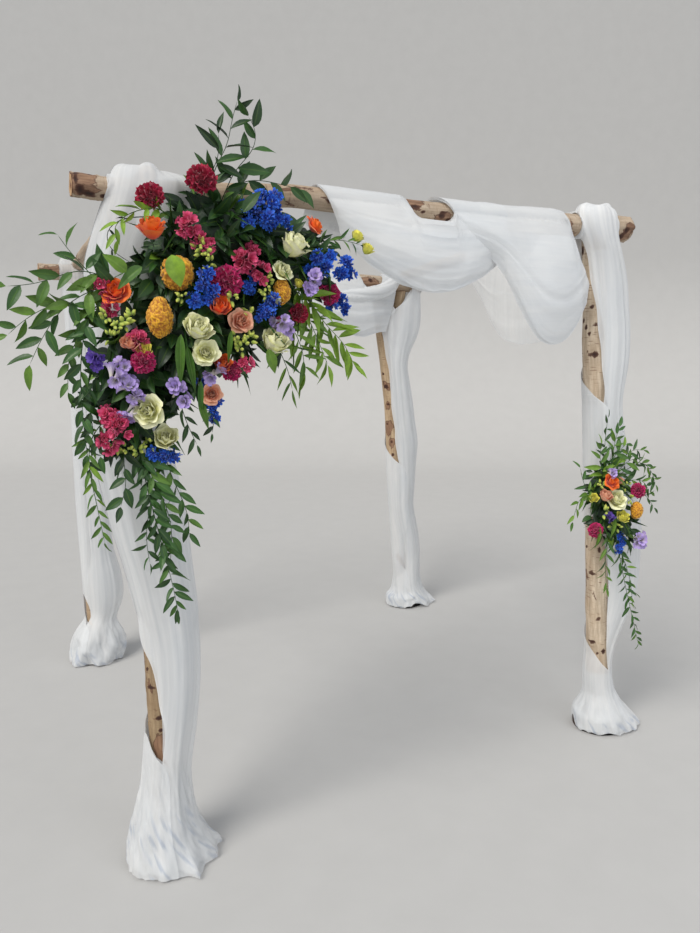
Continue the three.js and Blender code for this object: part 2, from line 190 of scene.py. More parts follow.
class Shape:
    """Surfaces given as grids of points, gathered into one mesh."""

    def __init__(self):
        self.parts = []

    def add(self, points, uv=None, **marks):
        """points is one grid (rows, columns, 3) or many such grids; u runs along columns and v
        along rows. A mark is one number, or one for each grid or for each point."""
        points = np.asarray(points, float)
        grids = points.reshape(-1, *points.shape[-3:])
        size = grids.shape[:3]
        if uv is None:
            uv = stacked(*np.meshgrid(np.linspace(0, 1, size[2]), np.linspace(0, 1, size[1])))
        for key, mark in marks.items():
            mark = np.asarray(mark, float)
            marks[key] = np.broadcast_to(mark.reshape(-1, 1, 1) if mark.ndim == 1 else mark, size)
        self.parts.append((grids, np.broadcast_to(uv, (*size, 2)), marks))

    def mesh(self, name, closed=False, merge=True):
        """One mesh of all the grids; each square of a grid is one face, and the corners that meet
        are merged. The faces of a closed surface are turned outwards."""
        verts, faces, uvs, start = [], [], [], 0
        marks = {key: [] for key in sorted({key for *_, mark in self.parts for key in mark})}
        for grids, uv, mark in self.parts:
            size = grids.shape[:3]
            index = start + np.arange(math.prod(size)).reshape(size)
            faces.append(np.stack(corners(index), axis=3).reshape(-1, 4))
            uvs.append(np.stack(corners(uv), axis=3).reshape(-1, 2))
            verts.append(grids.reshape(-1, 3))
            for key, values in marks.items():
                values.append(np.broadcast_to(mark.get(key, 0.0), size).ravel())
            start += index.size
        verts, faces = np.concatenate(verts) + SHIFT, np.concatenate(faces)
        me = bpy.data.meshes.new(name)
        me.vertices.add(len(verts))
        me.vertices.foreach_set("co", verts.ravel())
        me.loops.add(faces.size)
        me.loops.foreach_set("vertex_index", faces.ravel())
        me.polygons.add(len(faces))
        me.polygons.foreach_set("loop_start", np.arange(0, faces.size, 4))
        me.update(calc_edges=True)
        me.polygons.foreach_set("use_smooth", np.ones(len(faces), bool))
        me.uv_layers.new(name="surface").data.foreach_set("uv", np.concatenate(uvs).ravel())
        for key, values in marks.items():
            attribute = me.attributes.new(key, "FLOAT", "POINT")
            attribute.data.foreach_set("value", np.concatenate(values))
        if merge or closed:
            bm = bmesh.new()
            bm.from_mesh(me)
            bmesh.ops.remove_doubles(bm, verts=bm.verts, dist=MERGE_DISTANCE)
            if closed:
                bmesh.ops.recalc_face_normals(bm, faces=bm.faces)
            bm.to_mesh(me)
            bm.free()
        return me


def place(name, mesh, material, nodes=()):
    """An object at the origin that rides on the frame and stands for its CAD nodes."""
    ob = bpy.data.objects.new(name, mesh)
    bpy.context.scene.collection.objects.link(ob)
    mesh.materials.append(material)
    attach(ob, "root")
    if nodes:
        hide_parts(*nodes)
    return ob


class Graph:
    """A material's nodes, each made in one call that also fills and links its inputs."""

    def __init__(self, name):
        self.material = bpy.data.materials.new(name)
        self.material.use_nodes = True
        self.tree = self.material.node_tree
        self.tree.nodes.clear()

    def feed(self, socket, value):
        """Links the socket or sets its value; a colour of three numbers is opaque."""
        if isinstance(value, bpy.types.NodeSocket):
            self.tree.links.new(value, socket)
        elif socket.type == "RGBA" and len(value) == 3:
            socket.default_value = (*value, 1)
        else:
            socket.default_value = value

    def node(self, kind, inputs=None, **settings):
        n = self.tree.nodes.new("ShaderNode" + kind)
        for key, value in settings.items():
            setattr(n, key, value)
        for key, value in (inputs or {}).items():
            self.feed(n.inputs[key], value)
        return n

    def uv(self, scale):
        n = self.node("UVMap", uv_map="surface")
        return self.node("Mapping", {"Vector": n.outputs[0], "Scale": scale}).outputs[0]

    def place(self, scale):
        n = self.node("TexCoord")
        return self.node("Mapping", {"Vector": n.outputs["Object"], "Scale": scale}).outputs[0]

    def mark(self, name):
        return self.node("Attribute", attribute_name=name).outputs["Fac"]

    def noise(self, vector, scale=1.0, detail=2.0, roughness=0.5, distortion=0.0):
        inputs = {"Vector": vector, "Scale": scale, "Detail": detail, "Roughness": roughness,
                  "Distortion": distortion}
        return self.node("TexNoise", inputs).outputs["Fac"]

    def ramp(self, value, *stops):
        n = self.node("ValToRGB", {"Fac": value})
        while len(n.color_ramp.elements) < len(stops):
            n.color_ramp.elements.new(0.5)
        for e, (at, colour) in zip(n.color_ramp.elements, stops):
            e.position = at
            e.color = (*(colour if hasattr(colour, "__len__") else (colour,) * 3), 1)
        return n.outputs["Color"]

    def mix(self, fac, a, b, blend="MIX"):
        """A Mix node's first input is its factor, its seventh and eighth are the two colours."""
        n = self.node("Mix", data_type="RGBA", blend_type=blend)
        for k, value in ((0, fac), (6, a), (7, b)):
            self.feed(n.inputs[k], value)
        return n.outputs[2]

    def math(self, operation, a, b, clamp=False):
        n = self.node("Math", operation=operation, use_clamp=clamp)
        self.feed(n.inputs[0], a)
        self.feed(n.inputs[1], b)
        return n.outputs[0]

    def bump(self, height, strength, distance):
        inputs = {"Height": height, "Strength": strength, "Distance": distance}
        return self.node("Bump", inputs).outputs[0]

    def finish(self, **inputs):
        inputs = {k.replace("_", " ").title().replace("Ior", "IOR"): v for k, v in inputs.items()}
        s = self.node("BsdfPrincipled", inputs)
        out = self.node("OutputMaterial")
        self.tree.links.new(s.outputs[0], out.inputs[0])
        return self.material


def bark_material(name, pale, tan, brown, torn_share, seed):
    """Birch bark: cream with darker clouds, soft streaks along the log, thin dark dashes round it,
    torn brown patches, dark knots and pale sawn ends with rings."""
    g = Graph("birch_bark_" + name)
    cloud = g.noise(g.uv((2.6 + 0.3 * seed, 1.3 + 0.1 * seed, 1)), 3.2, 4, 0.6)
    between = [0.5 * (a + b) for a, b in zip(pale, tan)]
    colour = g.ramp(cloud, (0.30, pale), (0.50, between), (0.70, tan))
    streak = g.noise(g.uv((70, 7, 1)), 1, 4, 0.65)
    colour = g.mix(g.ramp(streak, (0.42, 0.55), (0.62, 0.0)), colour, [0.62 * c for c in tan])
    grain = g.noise(g.uv((45, 300, 1)), 1, 3, 0.6)
    colour = g.mix(g.math("MULTIPLY", grain, 0.45), colour, (0.42, 0.30, 0.19), "MULTIPLY")
    fine = g.noise(g.uv((24, 150, 1)), 1, 1, 0.5)
    where = g.noise(g.uv((3, 5, 1)), 1.7, 3, 0.6)
    dash = g.math("MULTIPLY", g.ramp(fine, (0.63, 0.0), (0.68, 0.8)),
                  g.ramp(where, (0.42, 0.1), (0.64, 1.0)))
    colour = g.mix(dash, colour, brown)
    patch = g.math("ADD", g.noise(g.uv((9, 4.2, 1)), 1.15, 9, 0.62, 0.6),
                   g.math("MULTIPLY", g.mark("peel"), 0.30))
    under_dark, under_light = (0.140, 0.066, 0.036), (0.350, 0.200, 0.118)
    tear = (0.085, 0.030, 0.016)
    under = g.mix(g.ramp(streak, (0.35, 0.0), (0.65, 1.0)), under_dark, under_light)
    off_from = 0.655 - 0.06 * torn_share
    torn = g.ramp(patch, (off_from, 0.0), (off_from + 0.03, 0.92))
    colour = g.mix(torn, colour, under)
    rim = g.ramp(patch, (off_from - 0.012, 0.0), (off_from + 0.012, 0.9), (off_from + 0.036, 0.0))
    colour = g.mix(rim, colour, tear)
    knot = g.mark("knot")
    rough = g.noise(g.uv((60, 60, 1)), 1, 5, 0.7)
    scar = g.math("ADD", knot, g.math("MULTIPLY", g.math("SUBTRACT", rough, 0.5), 0.8))
    scarred = g.ramp(scar, (0.26, 0.0), (0.42, 0.9), (0.7, 1.0))
    pit = g.ramp(knot, (0.5, (0.075, 0.026, 0.014)), (1.0, (0.025, 0.011, 0.008)))
    colour = g.mix(scarred, colour, pit)
    cut = g.mark("cut")
    rings = g.math("ADD", cut, g.math("MULTIPLY", rough, 0.05))
    rings = g.math("SINE", g.math("MULTIPLY", rings, 75.0), 0.0)
    wood = g.mix(g.ramp(rings, (0.2, 0.0), (0.9, 1.0)), (0.56, 0.36, 0.19), (0.40, 0.22, 0.10))
    heart = g.ramp(cut, (0.0, (0.20, 0.09, 0.04)), (0.16, (0.34, 0.17, 0.08)), (0.5, 1), (0.90, 1),
                   (0.93, (0.16, 0.07, 0.035)))
    wood = g.mix(1.0, wood, heart, "MULTIPLY")
    colour = g.mix(g.ramp(cut, (0.0, 1.0), (0.96, 1.0), (0.999, 0.0)), colour, wood)
    height = g.math("ADD", g.math("MULTIPLY", grain, 0.35),
                    g.math("MULTIPLY", g.math("ADD", dash, torn), -0.8))
    height = g.math("ADD", height, g.math("MULTIPLY", rough, 0.5))
    return g.finish(base_color=colour, roughness=g.ramp(rough, (0.2, 0.62), (0.8, 0.88)),
                    normal=g.bump(height, 0.55, 0.004))


def log_surface(shape, axis, rows, aside, knots, peels, seed, gnarled=0.0):
    """A log: a circle carried along the rows, oval and wavy by noise, with a rim and a pit at each
    knot and a level sawn face at each end, near which it may be gnarled. Rows are position, centre
    and radius; aside(t) is the other coordinate, and a knot or peel is its position, angle, size
    and how tall it is."""
    step, around = 0.010, 56
    t0, t1 = rows[0][0], rows[-1][0]
    face = np.array([0.0, 0.12, 0.25, 0.38, 0.5, 0.62, 0.74, 0.86, 0.95])
    body = np.linspace(t0, t1, int((t1 - t0) / step))
    t = np.concatenate([np.full(len(face), t0), body, np.full(len(face), t1)])[:, None]
    out = np.concatenate([face, np.ones(len(body)), face[::-1]])[:, None]
    q = np.linspace(0, TAU, around + 1)[None, :]
    x, y = np.cos(q), np.sin(q)
    middle, radius = row_at(rows, t)
    ends = np.exp(-(t - t0) / 0.06) + np.exp(-(t1 - t) / 0.06)
    spot = stacked(x * 1.6, y * 1.6, t * 9)
    lump = 0.6 * noise(spot * 1.9, seed + 3) + 0.4 * noise(spot * 4.3, seed + 4)
    r = radius * (1 + 0.05 * noise(spot, seed) + 0.018 * noise(spot * 3.1, seed + 1)
                  + 0.008 * noise(spot * 9, seed + 2) + gnarled * ends * lump)
    mark, peel = np.zeros_like(r), np.zeros_like(r)
    ragged = 1 + 0.9 * noise(stacked(x * 4, y * 4, t * 55), seed + 5)

    def round_from(angle):
        """How far round the log each point is from an angle."""
        return (np.mod(q - angle + math.pi, TAU) - math.pi) * radius

    for at, angle, size, tall in knots:
        off = round_from(angle)
        deep = min(size, 0.013)
        d2 = ((off / size) ** 2 + ((t - at) / (size * tall)) ** 2) * ragged
        r = r + deep * (0.24 * np.exp(-d2 / 1.6) - 0.36 * np.exp(-d2 / 0.28))
        bent = (t - at - size * 0.5 + abs(off) * 1.1) / (0.10 * size)
        brow = np.exp(-(bent ** 2) - (off / (1.8 * size)) ** 2)
        mark = np.maximum(mark, np.maximum(np.exp(-d2 / 0.42), 0.45 * brow))
    for at, angle, size, tall in peels:
        off = round_from(angle)
        peel = np.maximum(peel, np.exp(-(off / size) ** 2 - ((t - at) / (size * tall)) ** 2))
    bow = 0.004 * (eased((t - t0) / 0.1) * eased((t1 - t) / 0.1))
    a = middle + bow * noise(stacked(t * 2.3, seed, 0.5), seed) + r * out * x
    b = aside(t) + bow * noise(stacked(t * 2.1, seed, 3.5), seed) + r * out * y
    on_face = out < 1
    chamfer = np.where(on_face, 0, 0.004) * (np.exp(-(t - t0) / 0.003) - np.exp(-(t1 - t) / 0.003))
    along = t + chamfer + np.where(on_face, 0.002 * noise(stacked(a * 30, b * 30, seed), seed), 0)
    order = {"x": (along, b, a), "y": (a, along, b), "z": (a, b, along)}[axis]
    shape.add(stacked(*order), stacked(q * 0.045, t), knot=mark, peel=peel, cut=out)


def seeded_knots(rows, seed, each, size):
    """Knots scattered along a log, one about every so many metres."""
    rng = np.random.default_rng(seed)
    t0, t1 = rows[0][0], rows[-1][0]
    n = int((t1 - t0) / each)
    at = t0 + (np.arange(n) + rng.uniform(0.2, 0.8, n)) * (t1 - t0) / n
    return [(a, rng.uniform(0, TAU), size * rng.uniform(0.6, 1.4), rng.uniform(0.6, 1.1))
            for a in at]


def side_beam(x_front, x_back, y0, y1):
    """A side beam, seated on the front and back beams: its rows of y, x and radius, and a function
    that gives its height at any y."""
    height = [row_at(rows, x)[0] + row_at(rows, x)[1] + SIDE_BEAM_R - SEAT
              for rows, x in ((FRONT_BEAM, x_front), (BACK_BEAM, x_back))]
    slope = (height[1] - height[0]) / (back_y(x_back) - front_y(x_front))
    z = [float(height[0] + slope * (y - front_y(x_front))) for y in (y0, y1)]
    rows = [(y0, x_front, SIDE_BEAM_R - 0.001), (y1, x_back, SIDE_BEAM_R + 0.002)]
    return rows, lambda y: np.interp(y, (y0, y1), z)


# Each beam: the axis it runs along, its rows, and its other coordinate at any place.
BEAMS = {"front": ("x", FRONT_BEAM, front_y), "back": ("x", BACK_BEAM, back_y),
         "left": ("y", *side_beam(-0.958, -0.926, -0.890, 0.965)),
         "right": ("y", *side_beam(0.757, 0.900, -0.882, 0.970))}
LOGS = [*(("z", rows, upright(name)) for name, rows in POSTS.items()),
        ("z", FORK, upright("back_right")), *BEAMS.values()]

# Knots that the photograph shows: position along the log, angle round it, size and how tall. The
# front right post's knot at 2.000 is painted shade: a dark knot where the beam shades the hollow at
# the post's top.
KNOTS = {
    "front_right": [(1.786, 3.72, 0.017, 0.7), (1.722, 4.07, 0.017, 0.6),
      (1.606, 3.96, 0.028, 0.55), (1.735, 2.90, 0.010, 1.2), (1.712, 3.25, 0.010, 1.4),
      # painted shade: the knot at 2.000 stands for the shaded hollow under the beam
      (1.685, 3.55, 0.010, 1.2), (2.000, 2.75, 0.020, 1.2), (0.810, 4.14, 0.010, 2.0),
      (0.814, 2.90, 0.012, 1.0), (0.706, 3.60, 0.027, 0.42), (0.506, 4.10, 0.024, 0.40),
      (0.398, 3.58, 0.021, 0.50), (0.362, 4.52, 0.020, 0.75), (0.466, 5.10, 0.012, 0.9),
      (0.940, 3.50, 0.012, 0.7)],
    "front_left": [(0.602, 3.80, 0.022, 0.42), (0.502, 4.26, 0.017, 0.7), (0.726, 4.01, 0.012, 0.8),
      (0.462, 4.36, 0.010, 0.6), (0.660, 3.60, 0.009, 1.2)],
    "back_right": [(1.382, 3.70, 0.020, 0.9), (1.278, 3.74, 0.018, 0.6), (1.050, 3.98, 0.016, 0.7),
      (0.970, 4.05, 0.016, 0.8), (1.460, 3.50, 0.012, 0.8), (1.160, 3.45, 0.014, 0.6)],
    "back_left": [(0.60, 4.0, 0.010, 0.9), (1.10, 5.0, 0.012, 0.8)],
    "front": [(-1.152, 5.05, 0.022, 0.5), (-1.140, 4.20, 0.024, 0.8), (-1.118, 3.95, 0.014, 1.8),
      (-1.150, 5.75, 0.013, 1.2), (-1.080, 3.90, 0.010, 1.6), (-0.395, 4.60, 0.013, 1.5),
      (-0.135, 5.35, 0.009, 2.6), (-0.082, 4.95, 0.010, 3.0), (-0.050, 4.55, 0.007, 2.2),
      (0.024, 4.35, 0.015, 1.4), (0.052, 4.05, 0.012, 1.2), (0.814, 4.43, 0.009, 1.0),
      (0.868, 4.45, 0.021, 0.9), (0.850, 3.90, 0.016, 1.3)],
    "back": [(-1.060, 4.64, 0.016, 0.9), (0.666, 4.90, 0.014, 0.9)],
}
# Where the outer bark is off, in the same way.
PEELS = {
    "front_left": [(0.400, 4.25, 0.026, 2.6)],
    "front_right": [(1.600, 3.96, 0.020, 1.2)],
    "back_right": [(1.382, 3.70, 0.028, 1.4), (1.265, 3.74, 0.030, 1.4), (1.130, 3.53, 0.034, 1.6),
      (1.050, 3.98, 0.020, 1.4), (0.285, 3.80, 0.060, 1.5)],
    "front": [(-1.125, 5.50, 0.040, 1.0), (-0.090, 5.05, 0.020, 2.4), (0.035, 4.30, 0.022, 1.5),
      (-1.150, 4.40, 0.028, 0.7), (0.560, 4.60, 0.024, 1.4), (0.870, 4.10, 0.024, 1.0),
      (0.885, 4.70, 0.024, 1.0)],
    "back": [(-1.060, 4.64, 0.050, 1.2), (0.700, 4.80, 0.050, 2.0)],
}
# Each post's bark colour scale, partly its own tone and partly painted light: the front left one
# darker as painted shade, the front right one lighter as painted light; and how much of its outer
# bark is torn off.
POST_TONES_AND_LIGHT = {
    "front_left": ((0.68, 0.62, 0.50), 0.45), "front_right": ((1.14, 1.18, 1.20), 0.10),
    "back_left": ((0.95, 0.92, 0.86), 0.3), "back_right": ((0.98, 0.92, 0.80), 0.45),
}


class TimberSizes(bpy.types.PropertyGroup):
    bark_pale: FloatVectorProperty(
        name="Pale bark", description="Colour of the smooth bark", subtype="COLOR",
        default=(0.72, 0.610, 0.475), min=0, max=1)
    bark_tan: FloatVectorProperty(
        name="Tan bark", description="Colour of the clouds in the bark", subtype="COLOR",
        default=(0.51, 0.375, 0.255), min=0, max=1)
    bark_brown: FloatVectorProperty(
        name="Dark bark", description="Colour of the dashes in the bark", subtype="COLOR",
        default=(0.16, 0.070, 0.040), min=0, max=1)
    beam_torn: FloatProperty(
        name="Torn bark on beams", description="How much of the outer bark is torn off the beams",
        default=0.55, min=0, max=1, subtype="FACTOR")
    post_torn: FloatProperty(
        name="Torn bark on posts", description="Scales how much bark is torn off the posts",
        default=1.0, min=0, max=2, subtype="FACTOR")
    foot_radius: FloatProperty(
        name="Foot radius", description="Radius of the cast feet", default=0.106, min=0.06,
        unit="LENGTH")


class CHUPPAH_OT_timber(bpy.types.Operator):
    """Four birch posts and four birch beams"""

    bl_idname = "chuppah.timber"
    bl_label = "Timber"

    def execute(self, context):
        s = context.scene.chuppah_timber
        pale, tan, brown = list(s.bark_pale), list(s.bark_tan), list(s.bark_brown)
        beams = bark_material("beams", [c * 0.84 for c in pale], tan, brown, s.beam_torn, 2)
        for k, (name, rows) in enumerate(POSTS.items()):
            tone, torn = POST_TONES_AND_LIGHT[name]
            # the post's tone scales its pale and tan bark, and carries painted light and shade
            toned = [[a * b for a, b in zip(shade, tone)] for shade in (pale, tan)]
            bark = bark_material(name, *toned, brown, torn * s.post_torn, 3 + k)
            knots = KNOTS[name] + seeded_knots(rows, 20 + k, 0.5, 0.007)
            shape = Shape()
            log_surface(shape, "z", rows, upright(name), knots, PEELS.get(name, []), 3 + k)
            if name == "back_right":
                log_surface(shape, "z", FORK, upright(name), [], [(1.75, 4.2, 0.03, 2.0)], 9)
            place("birch_post_" + name, shape.mesh(name, closed=True), bark,
                  ["post_" + name])
        for name, (axis, rows, aside) in BEAMS.items():
            seed, each, gnarled = (11, 0.15, 0.16) if axis == "x" else (21, 0.2, 0.0)
            seed += len(name)
            knots = KNOTS.get(name, []) + seeded_knots(rows, seed + 20, each, 0.009)
            shape = Shape()
            log_surface(shape, axis, rows, aside, knots, PEELS.get(name, []), seed, gnarled)
            place("birch_beam_" + name, shape.mesh(name, closed=True), beams,
                  ["beam_" + name])
        return {"FINISHED"}


def foot_surface(shape, x, y, bore, radius, seed):
    """A cast foot: an outline of radius and height turned round the post, from the middle of its
    underside over the disc and up the socket, then down the bore to its floor, with the roughness
    of a casting."""
    outline = np.array([
        (0, 0), (radius - 0.004, 0), (radius, 0.005), (radius, 0.030), (radius - 0.004, 0.036),
        (radius - 0.012, 0.040), (bore + 0.016, 0.047), (bore + 0.009, 0.056),
        (bore + 0.006, 0.066), (bore + 0.005, 0.090), (bore + 0.003, 0.095), (bore + 0.001, 0.093),
        (bore, 0.088), (bore, 0.007), (0, 0.007)])
    length = np.append(0, np.cumsum(np.linalg.norm(np.diff(outline, axis=0), axis=1)))
    at = np.sort(np.concatenate([length, np.linspace(0, length[-1], 40)]))
    r, z = (np.interp(at, length, column)[:, None] for column in outline.T)
    q = np.linspace(0, TAU, 49)[None, :]
    spot = stacked(np.cos(q) * 9, np.sin(q) * 9, z * 90 + r * 70)
    cast = 0.0012 * noise(spot, seed) * eased((r - bore) / 0.02)
    z = z + np.where(z > 0.001, 1, 0) * cast
    shape.add(stacked(x + (r + cast) * np.cos(q), y + (r + cast) * np.sin(q), z),
              stacked(q * 0.1, at[:, None]))


def iron_material():
    """Cast iron: near black and rough, with clouds of rust."""
    g = Graph("cast_iron")
    rust = g.noise(g.place((9, 9, 9)), 1, 5, 0.65)
    grain = g.noise(g.place((160, 160, 160)), 1, 3, 0.6)
    black = g.ramp(grain, (0.3, 0.010), (0.7, 0.028))
    colour = g.mix(g.ramp(rust, (0.48, 0.0), (0.66, 0.8)), black, (0.095, 0.036, 0.016))
    return g.finish(base_color=colour, roughness=g.ramp(grain, (0.3, 0.55), (0.7, 0.8)),
                    metallic=g.ramp(rust, (0.45, 0.85), (0.6, 0.1)),
                    normal=g.bump(grain, 0.6, 0.002))


# How far to the right of its place the back right foot stands, and how much smaller it is.
ASKEW, SMALLER = 0.012, 0.004


class CHUPPAH_OT_feet(bpy.types.Operator):
    """Cast iron feet that hold the posts"""

    bl_idname = "chuppah.feet"
    bl_label = "Feet"

    def execute(self, context):
        iron = iron_material()
        for k, (name, (x, y)) in enumerate(FOOT.items()):
            bore = row_at(POSTS[name], 0.06)[1] * SWELL
            radius = context.scene.chuppah_timber.foot_radius
            if name == "back_right":
                x, radius = x + ASKEW, radius - SMALLER
            shape = Shape()
            foot_surface(shape, x, y, bore, radius, 60 + k)
            place("iron_foot_" + name, shape.mesh("foot_" + name, closed=True), iron,
                  ["foot_" + name])
        return {"FINISHED"}


